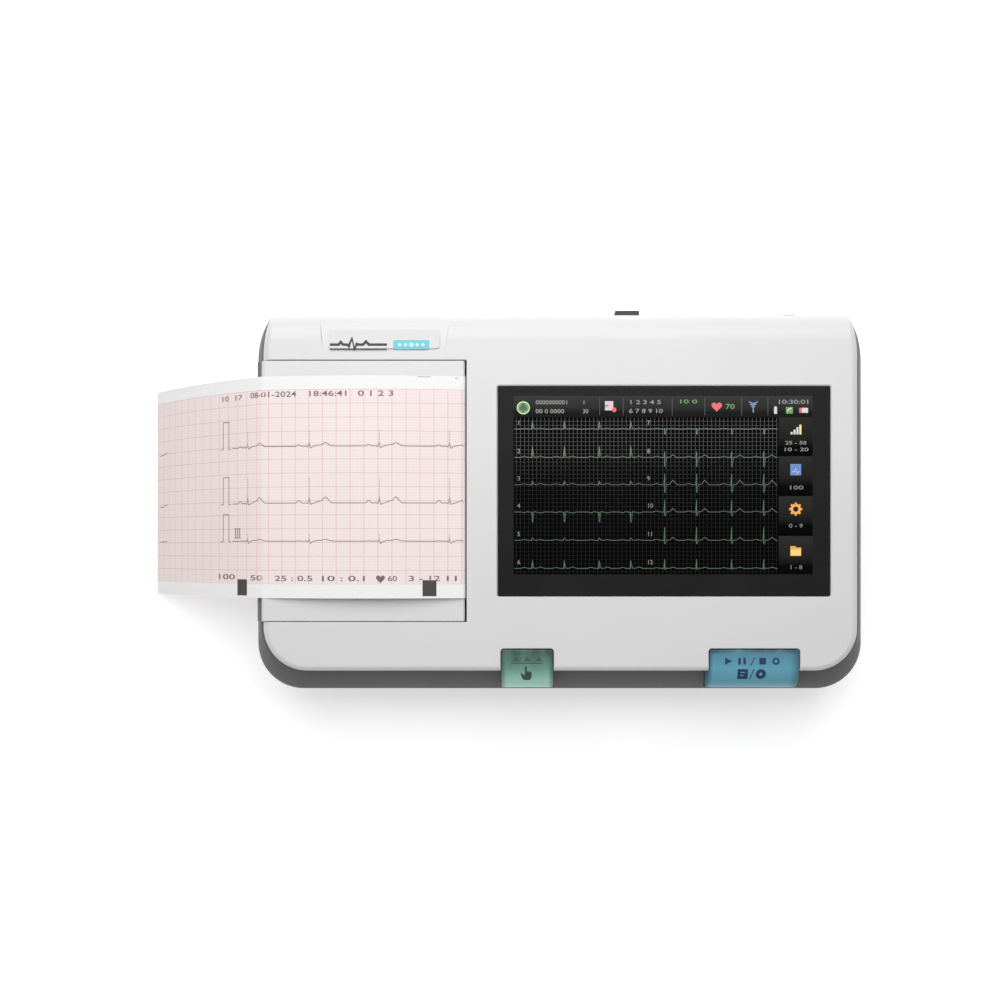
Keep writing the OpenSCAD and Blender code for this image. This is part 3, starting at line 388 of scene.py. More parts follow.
paper_mat = chart_paper()
roll_mat = rolled_paper()
ink_mat = ink("thermal_ink", lin(112, 94, 96))
mark_mat = ink("page_mark_ink", lin(62, 54, 54))
badge_ink = ink("badge_ink", lin(34, 34, 36), 0.5)
badge_teal = plastic("badge_teal", lin(92, 190, 200), rough=0.35, grain=0.0006, grain_amt=0.1, var=0.04)
# per key: darker rear, mid, painted highlight at the front foot, painted rim shade; rim widths in mm, the blue key's
# wider right rim paints the shade of its side wall
green_key = key_material("key_green", lin(65, 92, 83), lin(97, 140, 126), lin(146, 188, 172), lin(50, 71, 63), -21.5, -2.8)
blue_key = key_material("key_blue", lin(88, 136, 158), lin(98, 158, 180), lin(92, 144, 162), lin(54, 80, 94), 53.7, 86.2, 1.2, 3.4)
key_ink_green = ink("key_ink_green", lin(52, 74, 68), 0.45)
key_ink_blue = ink("key_ink_blue", lin(14, 46, 78), 0.45)

CAD_LOOKS = {
    "door_inner_frame": black_mat, "door_trim": grey_mat, "door_hinge_pin": steel_mat, "display_gasket": rubber_mat, "lcd_module": steel_mat,
    "display_cable": ribbon_mat, "power_button": black_mat, "latch_lever": dark_mat, "latch_pin": steel_mat,
    "latch_spring": steel_mat, "platen_roller": platen_mat, "platen_shaft": bright_mat, "platen_bushings": brass_mat,
    "platen_gear": ivory_mat, "reduction_gear": ivory_mat, "gear_stud": steel_mat, "stepper_motor": steel_mat,
    "motor_shaft": bright_mat, "motor_pinion": brass_mat, "recorder_chassis": steel_mat, "print_head": head_mat,
    "print_head_heatsink": alu_mat, "print_head_bracket": steel_mat, "print_head_springs": steel_mat,
    "print_head_cable": ribbon_mat, "bracket_screws": steel_mat, "tear_bar": blade_mat, "paper_roll": roll_mat,
    "paper_core": card_mat, "paper_spindle": dark_mat, "paper_tray": dark_mat, "main_board": board_mat,
    "main_processor": black_mat, "board_components": black_mat, "front_end_board": board_mat, "front_end_shield": steel_mat,
    "key_board": board_mat, "key_switch": black_mat, "key_switch_plunger": ivory_mat, "power_switch": black_mat,
    "patient_socket": dark_mat, "patient_jackscrews": bright_mat, "power_inlet": black_mat, "usb_port": bright_mat,
    "battery_pack": battery_mat, "battery_cover": dark_mat, "battery_cover_screws": steel_mat, "speaker": black_mat,
    "board_screws": steel_mat, "housing_screws": steel_mat, "badge_plate": plate_mat, "rubber_feet": rubber_mat,
    "upper_housing": white_mat, "lower_housing": grey_mat, "recorder_door": door_mat, "display_glass": glass_mat,
    "open_button": green_key, "print_button": blue_key, "paper_strip": paper_mat,
}


# ------------------------------------------------------------------ mesh kit
def link(obj):
    bpy.context.scene.collection.objects.link(obj)
    return obj


def make(name, verts, faces, mat=None, scale=MM):
    me = bpy.data.meshes.new(name)
    me.from_pydata([tuple(c * scale for c in v) for v in verts], [], faces)
    me.validate()
    me.update()
    o = link(bpy.data.objects.new(name, me))
    if mat:
        me.materials.append(mat)
    return o


def tidy(o, merge=2e-6):
    bm = bmesh.new()
    bm.from_mesh(o.data)
    bmesh.ops.remove_doubles(bm, verts=bm.verts, dist=merge)
    bmesh.ops.dissolve_degenerate(bm, dist=merge, edges=bm.edges)
    bmesh.ops.recalc_face_normals(bm, faces=bm.faces)
    bm.to_mesh(o.data)
    bm.free()
    o.data.update()


def shade(o, angle=35, weighted=True):
    o.data.shade_smooth()
    o.data.set_sharp_from_angle(angle=math.radians(angle))
    if weighted:
        w = o.modifiers.new("weighted", "WEIGHTED_NORMAL")
        w.keep_sharp = True
        w.mode = "FACE_AREA_WITH_ANGLE"


def boolean(o, cutter, op="DIFFERENCE"):
    m = o.modifiers.new("b", "BOOLEAN")
    m.operation, m.solver, m.object = op, "EXACT", cutter
    bpy.context.view_layer.update()
    dg = bpy.context.evaluated_depsgraph_get()
    me = bpy.data.meshes.new_from_object(o.evaluated_get(dg))
    o.modifiers.remove(m)
    old = o.data
    o.data = me
    bpy.data.meshes.remove(old)
    bpy.data.objects.remove(cutter)
    return o


def loft(name, rings, mat=None):
    n = len(rings[0])
    verts = [p for r in rings for p in r]
    faces = [list(range(n))[::-1], [len(verts) - n + i for i in range(n)]]
    for k in range(len(rings) - 1):
        for i in range(n):
            a, b = k * n + i, k * n + (i + 1) % n
            faces.append([a, b, b + n, a + n])
    return make(name, verts, faces, mat)


def ring(z, xh, y0, y1, rf, rx, ry, n=16):
    pts = []
    for cx, cy, ax, ay, a0 in ((xh - rx, y1 - ry, rx, ry, 0), (-xh + rx, y1 - ry, rx, ry, 90),
                               (-xh + rf, y0 + rf, rf, rf, 180), (xh - rf, y0 + rf, rf, rf, 270)):
        for i in range(n + 1):
            a = math.radians(a0 + 90 * i / n)
            pts.append((cx + ax * math.cos(a), cy + ay * math.sin(a), z))
    return pts


def fillet(s, r):
    return 0.0 if s >= r else r - math.sqrt(max(0.0, r * r - (r - s) ** 2))


def white_ring(t, side, cap, n=16):
    st, ct = math.sin(math.radians(t)), math.cos(math.radians(t))
    z = ZP + (9.5 - cap) * st
    s = 9.5 - cap - (z - ZP)
    fs, ff = fillet(s, max(2.0 - cap, 0.8)) + 0.26 * (z - ZP), fillet(s, max(2.0 - cap, 0.8))
    xh = WX - side - fs
    return ring(z, xh, YF + side + ff, HD - 10.8 + (11 - side) * ct, 15.5 - side - ff, xh - (WX - 5.0), 5 + (11 - side) * ct, n)


def rrect(x0, x1, y0, y1, r, n=8, grow=0.0):
    x0, x1, y0, y1, r = x0 - grow, x1 + grow, y0 - grow, y1 + grow, max(r + grow, 0.01)
    pts = []
    for cx, cy, a0 in ((x1 - r, y1 - r, 0), (x0 + r, y1 - r, 90), (x0 + r, y0 + r, 180), (x1 - r, y0 + r, 270)):
        for i in range(n + 1):
            a = math.radians(a0 + 90 * i / n)
            pts.append((cx + r * math.cos(a), cy + r * math.sin(a)))
    return pts


def flared(name, x0, x1, y0, y1, r, z0, ztop, lip=0.35):
    """Cutter with vertical sides whose mouth opens in a small round at z = ztop."""
    levels = [(z0, 0.0), (ztop - lip, 0.0)]
    for i in range(1, 7):
        a = math.pi / 2 * i / 6
        levels.append((ztop - lip * math.cos(a), lip * (1 - math.sin(math.pi / 2 - a))))
    levels.append((ztop + 2, lip))
    return loft(name, [[(x, y, z) for x, y in rrect(x0, x1, y0, y1, r, grow=g)] for z, g in levels])


def block(name, x0, x1, y0, y1, z0, z1, mat=None, bevel=0.0):
    o = make(name, [(x, y, z) for z in (z0, z1) for y in (y0, y1) for x in (x0, x1)],
             [[0, 2, 3, 1], [4, 5, 7, 6], [0, 1, 5, 4], [2, 6, 7, 3], [0, 4, 6, 2], [1, 3, 7, 5]], mat)
    if bevel:
        bm = bmesh.new()
        bm.from_mesh(o.data)
        bmesh.ops.bevel(bm, geom=list(bm.edges), offset=bevel * MM, segments=3, profile=0.5, affect="EDGES")
        bm.to_mesh(o.data)
        bm.free()
    return o


def rod(name, p, q, r, n=32, mat=None):
    """Round bar from p to q along a main axis."""
    p, q = Vector(p), Vector(q)
    d = (q - p).normalized()
    u = Vector((1, 0, 0)) if abs(d.x) < 0.5 else Vector((0, 1, 0))
    v = d.cross(u).normalized()
    u = v.cross(d)
    rings = [[tuple(c + u * r * math.cos(2 * math.pi * i / n) + v * r * math.sin(2 * math.pi * i / n)) for i in range(n)] for c in (p, q)]
    o = loft(name, rings, mat)
    tidy(o)
    return o


def extrude_yz(name, pts, x0, x1, mat=None):
    n = len(pts)
    verts = [(x, y, z) for x in (x0, x1) for y, z in pts]
    faces = [list(range(n)), [n + i for i in range(n)][::-1]] + [[i, (i + 1) % n, n + (i + 1) % n, n + i][::-1] for i in range(n)]
    o = make(name, verts, faces, mat)
    tidy(o)
    return o


def finish_piece(o, body, replaces=(), angle=35, weighted=True):
    shade(o, angle, weighted)
    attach(o, body)
    if replaces:
        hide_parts(*replaces)
    return o


# ------------------------------------------------------------------ white top shell
ts = [0, 6, 12, 18, 24, 30, 35, 40, 44, 48, 52, 56, 60, 64, 68, 72, 76, 80, 84, 87, 90]
top = loft("top_shell", [white_ring(t, 0, 0) for t in ts], white_mat)
r0 = [(x, y, ZP - 2) for x, y, z in white_ring(0, WALL, TOP_T)]
inner = loft("c", [r0] + [white_ring(t, WALL, TOP_T) for t in ts[::2]])
boolean(top, inner)
boolean(top, flared("c", -HW - 6, SLOT_X + 0.11, DY0 - 0.25, DY1 + 0.25, 0.05, ZP - 4, H, 0.30))
boolean(top, block("c", SLOT_X - 3, SLOT_X + 0.41, DY0 - 0.25, DY1 + 0.25, ZP - 4, H + 1))
gx0, gx1, gy0, gy1 = glass_lo.x - 0.25, glass_hi.x + 0.25, glass_lo.y - 0.25, glass_hi.y + 0.25
ledge = block("c", gx0 - 2.2, gx1 + 2.2, gy0 - 2.2, gy1 + 2.2, H - 3.6, H - TOP_T + 0.4)
boolean(top, ledge, "UNION")
boolean(top, flared("c", gx0, gx1, gy0, gy1, 0.7, H - 1.9, H, 0.40))
boolean(top, loft("c", [[(x, y, z) for x, y in rrect(gx0 + 3.45, gx1 - 3.45, gy0 + 3.65, gy1 - 2.65, 0.5)] for z in (H - 6, H + 1)]))
KEY_X = {"open_button": (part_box("open_button")[0].x / MM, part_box("open_button")[1].x / MM),
         "print_button": (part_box("print_button")[0].x / MM + 0.8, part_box("print_button")[1].x / MM)}
for key in ("open_button", "print_button"):
    a, b = [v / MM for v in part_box(key)]
    a.x, b.x = KEY_X[key]
    boolean(top, flared("c", a.x - 0.25, b.x + 0.25, -HD - 6, b.y + 0.25, 1.2, ZP - 2, H, 0.25))
# badge facet cut in the rear roll
base = Matrix.Translation(Vector((0, HD - 14.8, H))) @ Matrix.Rotation(math.radians(-12.3), 4, "X")
facet = [(-85.6, 0), (-42.2, 0), (-40.4, 12), (-87.3, 12)]
verts = [tuple(base @ Vector((x, y, 0))) for x, y in facet] + [tuple(base @ Vector((x + (1.5 if x > -60 else -1.5), y * 1.02 - 0.4, 6))) for x, y in facet]
boolean(top, make("c", verts, [[3, 2, 1, 0], [4, 5, 6, 7], [0, 1, 5, 4], [1, 2, 6, 5], [2, 3, 7, 6], [3, 0, 4, 7]]))
for y0, y1 in ((DY0 - 5.4, DY0 - 0.3), (DY1 + 0.3, DY1 + 5.4)):
    boolean(top, block("c", HINGE_X - 0.9, HINGE_X + 4, y0, y1, HINGE_Z - 2.8, H - 1.5), "UNION")
boolean(top, rod("c", (HINGE_X, DY0 - 6.0, HINGE_Z), (HINGE_X, DY1 + 3.8, HINGE_Z), 1.28))
boolean(top, block("c", SLOT_X + 0.55, SLOT_X + 2.3, DY0 - 0.1, DY1 + 0.1, H - 3.4, H - 1.5), "UNION")
tidy(top)
finish_piece(top, "machine", ["upper_housing"], angle=32)

# ------------------------------------------------------------------ grey lower shell
GREY = [  # height, inset in X, front, rear, front corner radius, rear corner radii
    (2, 11.5, 10.5, 9.0, 11, 9, 13), (2.5, 10.8, 9.8, 8.3, 11.5, 9.3, 13.5), (3.2, 10.2, 9.2, 7.8, 12, 9.5, 14), (6, 9.0, 8.0, 6.6, 13, 10, 15),
    (14, 5.2, 4.6, 3.6, 15, 10, 16), (22, 2.4, 2.2, 1.6, 16, 8.8, 16), (27.5, 0.8, 0.8, 0.7, 17, 8, 15.8),
    (31, 0.0, 0.0, 0.2, 17, 7.2, 15.8), (32, 0.1, 0.4, 0.1, 17, 7.0, 15.9), (36.45, 2.3, 7.2, 0.1, 15.6, 4.9, 15.9)]


def smooth_rows(rows, per=4):
    """Rows with extra ones between, on a monotone curve through them."""
    a = np.array(rows, float)
    a[:, 0] = np.where(a[:, 0] < 10, a[:, 0], a[:, 0] + (H - 46))
    z, out = a[:, 0], []
    d = np.diff(a, axis=0) / np.diff(z)[:, None]
    m = np.vstack([d[0], (d[1:] + d[:-1]) / 2, d[-1]])
    for k in range(len(d)):
        for c in range(a.shape[1]):
            if abs(d[k, c]) < 1e-9:
                m[k, c] = m[k + 1, c] = 0
            else:
                for e in (k, k + 1):
                    if m[e, c] / d[k, c] < 0:
                        m[e, c] = 0
                    m[e, c] = math.copysign(min(abs(m[e, c]), 2.2 * abs(d[k, c])), m[e, c]) if m[e, c] else 0
    for k in range(len(d)):
        h = z[k + 1] - z[k]
        steps = 1 if h < 0.8 else per
        for i in range(steps):
            t = i / steps
            h00, h10, h01, h11 = 2 * t**3 - 3 * t**2 + 1, t**3 - 2 * t**2 + t, -2 * t**3 + 3 * t**2, t**3 - t**2
            row = h00 * a[k] + h10 * h * m[k] + h01 * a[k + 1] + h11 * h * m[k + 1]
            row[0] = z[k] + h * t
            out.append(row)
    out.append(a[-1])
    return out


def grey_ring(g, off, z=None, n=16):
    return ring(g[0] if z is None else z, HW - g[1] - off, -HD + g[2] + off, HD - g[3] - off, g[4] - off, g[5] - off, g[6] - off, n)


rows = smooth_rows(GREY)
low = loft("bottom_shell", [grey_ring(g, 0) for g in rows], grey_mat)
inner = loft("c", [grey_ring(GREY[2], WALL + 0.4, 4.4)] + [grey_ring(g, WALL) for g in rows if g[0] > 5.9][::2] + [grey_ring(GREY[-1], WALL, ZP + 3)])
boolean(low, inner)
boss = loft("c", [[(min(x, lim), y, z) for x, z in ((HW - 9.5, 6.0), (HW - 8.4, 6.0), (HW - 7.4, 7.0), (HW - 5.3, 11.2), (HW - 5.3, 30.5), (HW - 9.5, 30.5))]
                  for y, lim in ((-24, HW - 8.0), (-20.8, HW - 5.3), (30.8, HW - 5.3), (34, HW - 8.0))])
tidy(boss)
boolean(low, boss, "UNION")
boolean(low, loft("c", [[(x, y, z) for y, z in rrect(-18.5, 28.5, 9.5, 29, 2)] for x in (HW - 5.6, HW + 10)]))
boolean(low, extrude_yz("c", [(5 - 12.6, 23.9), (5 + 12.6, 23.9), (5 + 11.3, 15.3), (5 - 11.3, 15.3)], HW - 12, HW))
for y in (5 - 16.65, 5 + 16.65):
    boolean(low, rod("c", (HW - 12, y, 19.6), (HW, y, 19.6), 1.75))
for key in ("open_button", "print_button"):
    a, b = [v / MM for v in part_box(key)]
    a.x, b.x = KEY_X[key]
    boolean(low, block("c", a.x - 0.25, b.x + 0.25, -HD + 0.9, -HD + 20, ZP - 4.7, ZP + 2))
BZ = H - 20
boolean(low, rod("c", (85, HD - 8, BZ + 5.4), (85, HD + 5, BZ + 5.4), 4.6, 40))
boolean(low, block("c", 60.0, 73.8, HD - 8, HD + 5, BZ + 1.5, BZ + 9.0, bevel=0.4))
boolean(low, block("c", 20.4, 29.8, HD - 8, HD + 5, BZ + 2.2, BZ + 8.0, bevel=0.4))
for a in range(7):
    c = (62 + (5.5 * math.cos(math.radians(60 * a)) if a < 6 else 0), -42 + (5.5 * math.sin(math.radians(60 * a)) if a < 6 else 0))
    boolean(low, rod("c", (*c, 1), (*c, 6), 0.9, 20))
boolean(low, block("c", -7, 67, -24.5, 30.5, 1, 6))
boolean(low, loft("c", [[(x, y, z) for x, y in rrect(-13, 73, -27.5, 33.5, 3)] for z in (1, 3.3)]))
for cx in (-9.6, 69.6):
    boolean(low, rod("c", (cx, 3, 1), (cx, 3, 6), 1.05, 24))
for cx, cy in ((-HW + 15.5, -HD + 20.5), (HW - 15.5, -HD + 20.5), (-HW + 20.5, HD - 13.7), (HW - 20.5, HD - 13.7)):
    boolean(low, rod("c", (cx, cy, 1), (cx, cy, 6), 3.0, 28))
for cx, cy in ((-84, -44), (84, -44), (-84, 42), (84, 42)):
    boolean(low, rod("c", (cx, cy, 1), (cx, cy, 3.2), 6.05, 36))
tidy(low)
finish_piece(low, "machine", ["lower_housing"], angle=30)


# ------------------------------------------------------------------ door
def door_section(y, d):
    """Outline of the door in X and Z, pulled in by d near its ends; knuckles below stay whole."""
    x0, x1, zt = DOOR_X0 + d * 0.8, door_hi.x - d, H - d
    pts = [(x1, H - 9.5)]
    r = 0.55
    for i in range(6):
        a = math.radians(90 * i / 5)
        pts.append((x1 - r + r * math.cos(a), zt - r + r * math.sin(a)))
    r = 1.8 - d * 0.5
    for i in range(13):
        a = math.radians(90 + 90 * i / 12)
        pts.append((x0 + r + r * math.cos(a), zt - r + r * math.sin(a)))
    pts += [(x0, H - 3.0), (DOOR_X0 - 1.6, H - 3.2), (DOOR_X0 - 1.6, H - 9.5)]
    return [(x, y, z) for x, z in pts]


door = link(bpy.data.objects.new("door_shell", NODES["recorder_door"].data.copy()))
door.data.materials.clear()
door.data.materials.append(door_mat)
tidy(door, 1e-6)
R = 0.4
secs = []
for i in range(6):
    a = math.radians(90 * i / 5)
    secs.append((DY0 + R * (1 - math.cos(a)), R * (1 - math.sin(a))))
secs = [(y, d) for y, d in secs] + [(DY0 + DY1 - y, d) for y, d in secs[::-1]]
boolean(door, loft("c", [door_section(y, d) for y, d in secs][::-1]), "INTERSECT")
tidy(door)
finish_piece(door, "door", ["recorder_door"], angle=32)


# ------------------------------------------------------------------ keys
def key_profile(inset=0.0):
    """Side view of a key: flat pad that turns down over the front edge on a quarter ellipse."""
    y0, y1 = -53.2 - inset, -HD + 1.3
    pts = [(y0, ZP + 1.5), (y0, H + 0.5 - inset)]
    for i in range(25):
        a = math.radians(90 * i / 24)
        pts.append((-57 - (-57 - y1 - inset) * math.sin(a), H - 7.6 + (8.1 - inset) * math.cos(a)))
    return pts


def key_piece(name, node, mat, body, sag):
    a, b = [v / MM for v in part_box(node)]
    a.x, b.x = KEY_X[node]
    outer = key_profile() + [(-HD + 1.3, ZP - 2.6 - sag), (-HD + 1.3 + 4.0, ZP - 2.6 - sag), (-53.2 - 6.0, ZP - 0.6)]
    o = extrude_yz(name, outer, a.x, b.x, mat)
    bm = bmesh.new()
    bm.from_mesh(o.data)
    edges = [e for e in bm.edges if len(e.link_faces) == 2 and e.calc_face_angle(0) > math.radians(35)]
    bmesh.ops.bevel(bm, geom=edges, offset=0.75 * MM, segments=5, profile=0.5, affect="EDGES", clamp_overlap=True)
    bm.to_mesh(o.data)
    bm.free()
    inner = key_profile(1.5) + [(-HD + 2.8, ZP - 4), (-HD + 6, ZP - 6), (-54.7, ZP - 6)]
    boolean(o, extrude_yz("c", inner, a.x + 1.4, b.x - 1.4))
    push = block("c", *((-12.15 - 0.8, -12.15 + 0.8, -56.8, -54.2, ZP - 2.85, H - 1.2) if node == "open_button"
                        else (69.55 - 2.5, 69.55 + 2.5, -56.4, -54.2, ZP + 1.05, H - 1.2)), bevel=0.2)
    boolean(o, push, "UNION")
    tidy(o)
    return finish_piece(o, body, [node], angle=40)


key_piece("open_key", "open_button", green_key, "open_key", 0.0)
key_piece("print_key_cap", "print_button", blue_key, "print_key", 0.3)


# ------------------------------------------------------------------ flat artwork kit
class Art:
    """Collects flat shapes (mm) per ink, each with a small height step, then maps them onto a surface."""

    def __init__(self, up=1):
        self.sets, self.up = {}, up          # up = -1 where the second axis runs down the surface

    def poly(self, key, pts, layer=0):
        self.sets.setdefault(key, []).append(([tuple(p) for p in pts], [list(range(len(pts)))], layer))

    def rect(self, key, x0, y0, x1, y1, layer=0):
        self.poly(key, [(x0, y0), (x1, y0), (x1, y1), (x0, y1)], layer)

    def disc(self, key, x, y, r, layer=0, n=28, ry=None):
        self.poly(key, [(x + r * math.cos(2 * math.pi * i / n), y + (ry or r) * math.sin(2 * math.pi * i / n)) for i in range(n)], layer)

    def hoop(self, key, x, y, r0, r1, layer=0, n=32):
        v = [(x + r * math.cos(2 * math.pi * i / n), y + r * math.sin(2 * math.pi * i / n)) for r in (r0, r1) for i in range(n)]
        f = [[i, n + i, n + (i + 1) % n, (i + 1) % n][::-1] for i in range(n)]
        self.sets.setdefault(key, []).append((v, [g[::-1] for g in f], layer))

    def line(self, key, pts, w, layer=0):
        """Ribbon of width w along pts with mitred joints."""
        p = [Vector(q) for q in pts]
        p = [q for i, q in enumerate(p) if i == 0 or (q - p[i - 1]).length > 1e-6]
        left, right = [], []
        for i in range(len(p)):
            a = (p[i] - p[i - 1]).normalized() if i else None
            b = (p[i + 1] - p[i]).normalized() if i < len(p) - 1 else None
            t = (a or b) if (a is None or b is None) else (a + b)
            if t.length < 1e-6:
                t = a
            t = t.normalized()
            nrm = Vector((-t.y, t.x))
            k = w / 2
            ref = a or b
            c = abs(nrm.dot(Vector((-ref.y, ref.x))))
            k = k / max(c, 0.55)
            left.append(p[i] + nrm * k)
            right.append(p[i] - nrm * k)
        v = [tuple(q) for q in left] + [tuple(q) for q in right]
        n = len(p)
        f = [[i + 1, i, n + i, n + i + 1][::-1] for i in range(n - 1)]
        self.sets.setdefault(key, []).append((v, [g[::-1] for g in f], layer))

    def text(self, key, s, x, y, size, layer=0, width=None, align="LEFT", shear=0.0):
        """Digits and plain symbols only."""
        cu = bpy.data.curves.new("t", "FONT")
        cu.body, cu.size, cu.align_x, cu.align_y = s, 1.0, align, "CENTER"
        cu.resolution_u = 3
        cu.offset = 0.012
        o = link(bpy.data.objects.new("t", cu))
        bpy.context.view_layer.update()
        me = bpy.data.meshes.new_from_object(o.evaluated_get(bpy.context.evaluated_depsgraph_get()))
        bpy.data.objects.remove(o)
        bpy.data.curves.remove(cu)
        v = [(q.co.x, q.co.y) for q in me.vertices]
        if v:
            span = max(a for a, _ in v) - min(a for a, _ in v)
            sx = size if width is None else width / max(span, 1e-6)
            v = [(x + a * sx, y + b * size * self.up) for a, b in v]
            self.sets.setdefault(key, []).append((v, [list(p.vertices) for p in me.polygons], layer))
        bpy.data.meshes.remove(me)

    def build(self, prefix, mats, place, body=None, step=0.008, facing=lambda p: Vector((0, 0, 1)), cuts=()):
        made = []
        for key, shapes in self.sets.items():
            verts, faces = [], []
            for v, f, layer in shapes:
                base_i = len(verts)
                verts += [(x, y, layer * step) for x, y in v]
                faces += [[base_i + i for i in g] for g in f]
            o = make(f"{prefix}_{key}", verts, faces, mats[key])
            bm = bmesh.new()
            bm.from_mesh(o.data)
            for at_y in cuts:
                bmesh.ops.bisect_plane(bm, geom=bm.verts[:] + bm.edges[:] + bm.faces[:], plane_co=(0, at_y * MM, 0), plane_no=(0, 1, 0))
            for q in bm.verts:
                q.co = Vector(place(*(q.co / MM))) * MM
            bm.normal_update()
            for fc in bm.faces:
                if fc.normal.dot(facing(fc.calc_center_median())) < 0:
                    fc.normal_flip()
            bm.to_mesh(o.data)
            bm.free()
            if body:
                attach(o, body)
            made.append(o)
        return made


# ------------------------------------------------------------------ display
glass = loft("screen_glass", [[(x, y, z) for x, y in rrect(glass_lo.x, glass_hi.x, glass_lo.y, glass_hi.y, 0.6, grow=g)]
                              for z, g in ((glass_lo.z, -0.12), (glass_lo.z + 0.12, 0), (glass_hi.z - 0.25, 0), (glass_hi.z - 0.1, -0.05), (glass_hi.z, -0.25))], glass_mat)
finish_piece(glass, "machine", ["display_glass"], angle=40)

UX, UY, UZ = glass_lo.x + 5.65, glass_hi.y - 3.4, glass_hi.z + 0.004   # top left corner of the active area
UW, UH = 108.05, 64.5


def screen_place(x, y, dz):
    return (UX + x, UY - y, UZ + dz)


def gradient(name, top_c, bottom_c, y_of, glow=0.55):
    """Vertical shade that repeats over several panels."""
    m = Mat(name)
    x, y, z = m.xyz()
    v = m.math("DIVIDE", m.math("SUBTRACT", UY * MM, y), MM)
    f = None
    for a, b in y_of:
        t = m.remap(v, a, b, 0, 1)
        inside = m.math("MULTIPLY", m.math("GREATER_THAN", v, a), m.math("LESS_THAN", v, b))
        t = m.math("MULTIPLY", t, inside)
        f = t if f is None else m.math("ADD", f, t)
    dots = m.noise(1500, 1, 0.5)
    col = m.ramp(f, [(0.0, top_c), (0.55, tuple((a * 0.55 + b * 0.45) for a, b in zip(top_c, bottom_c))), (0.8, bottom_c), (1.0, bottom_c)])
    col = m.mix(m.remap(dots, 0.3, 0.7, 0, 0.12), col, bottom_c)
    m.set(Base_Color=(0.0012, 0.0012, 0.0012), Roughness=m.remap(m.noise(30, 5, 0.6), 0.35, 0.75, 0.30, 0.40), Emission_Color=col)
    m.b.inputs["Specular IOR Level"].default_value = 0.012
    m.b.inputs["Emission Strength"].default_value = glow
    return m.m


screen_mats = {
    "face": gradient("screen_black", lin(6, 7, 7), lin(4, 5, 5), [(0, 65)], 0.35),
    "bar": gradient("screen_bar", lin(62, 62, 62), lin(28, 28, 28), [(0.0, 7.62)], 1.0),
    "softkey": gradient("screen_softkeys", lin(48, 48, 46), lin(4, 4, 5), [(7.7, 21.4), (21.8, 35.5), (36.2, 49.7), (50.6, 64.5)], 1.0),
    "gridline": glowing("screen_gridline", lin(15, 18, 16), 0.9),
    "trace": glowing("screen_trace", lin(88, 112, 92), 0.95),
    "label": glowing("screen_label", lin(124, 128, 122), 0.95),
    "pale": glowing("screen_pale", lin(196, 198, 198), 0.95),
    "green": glowing("screen_green", lin(80, 134, 54), 0.95),
    "lime": glowing("screen_lime", lin(190, 226, 150), 1.0),
    "dark": glowing("screen_dark", lin(30, 60, 20), 0.8),
    "red": glowing("screen_red", lin(214, 70, 66), 1.0),
    "pink": glowing("screen_pink", lin(226, 160, 186), 1.0),
    "blue": glowing("screen_blue", lin(96, 130, 196), 1.0),
    "steelblue": glowing("screen_steelblue", lin(96, 138, 170), 0.95),
    "orange": glowing("screen_orange", lin(236, 170, 84), 1.0),
    "amber": glowing("screen_amber", lin(246, 206, 126), 1.0),
}

art = Art(-1)
art.rect("face", 0, 7.65, 95.8, UH, 0)
art.rect("bar", 0, 0, UW, 7.6, 0)
for a, b in ((7.7, 21.4), (21.8, 35.5), (36.2, 49.7), (50.6, 64.5)):
    art.rect("softkey", 95.8, a, UW, b, 0)
art.rect("face", 95.8, 7.6, UW, 7.7, 0)
for a, b in ((21.4, 21.8), (35.5, 36.2), (49.7, 50.6)):
    art.rect("face", 95.8, a, UW, b, 0)
x = 0.9
while x < 95.2:
    art.rect("gridline", x, 7.9, x + 0.16, UH - 0.3, 1)
    x += 1.47
yv = 9.1
while yv < UH - 0.5:
    art.rect("gridline", 0.3, yv, 95.3, yv + 0.12, 1)
    yv += 1.47


def beats(u0, u1, base, centres, up, down, t_h, p_h, s):
    """One lead: flat line, then P wave, spike and T wave at each beat. Heights in mm, up positive."""
    pts = [(u0, base)]
    for c in centres:
        if c - 4.2 > u0:
            pts += [(c - 4.2, base), (c - 3.3, base - p_h * 0.8 * s), (c - 2.7, base - p_h * s), (c - 2.0, base - 0.1 * s), (c - 1.0, base)]
        pts += [(c - 0.35, base + 0.12 * s)]
        if up:
            pts += [(c, base - up)]
        if down:
            pts += [(c + 0.28, base + down)]
        pts += [(c + 0.62, base - 0.15 * s), (c + 1.3, base), (c + 2.0, base - t_h * 0.25 * s), (c + 2.9, base - t_h * s),
                (c + 3.7, base - t_h * 0.5 * s), (c + 4.4, base)]
    pts = [p for i, p in enumerate(pts) if i == 0 or p[0] > pts[i - 1][0] + 1e-4]
    pts.append((u1, base))
    return [p for p in pts if u0 <= p[0] <= u1]


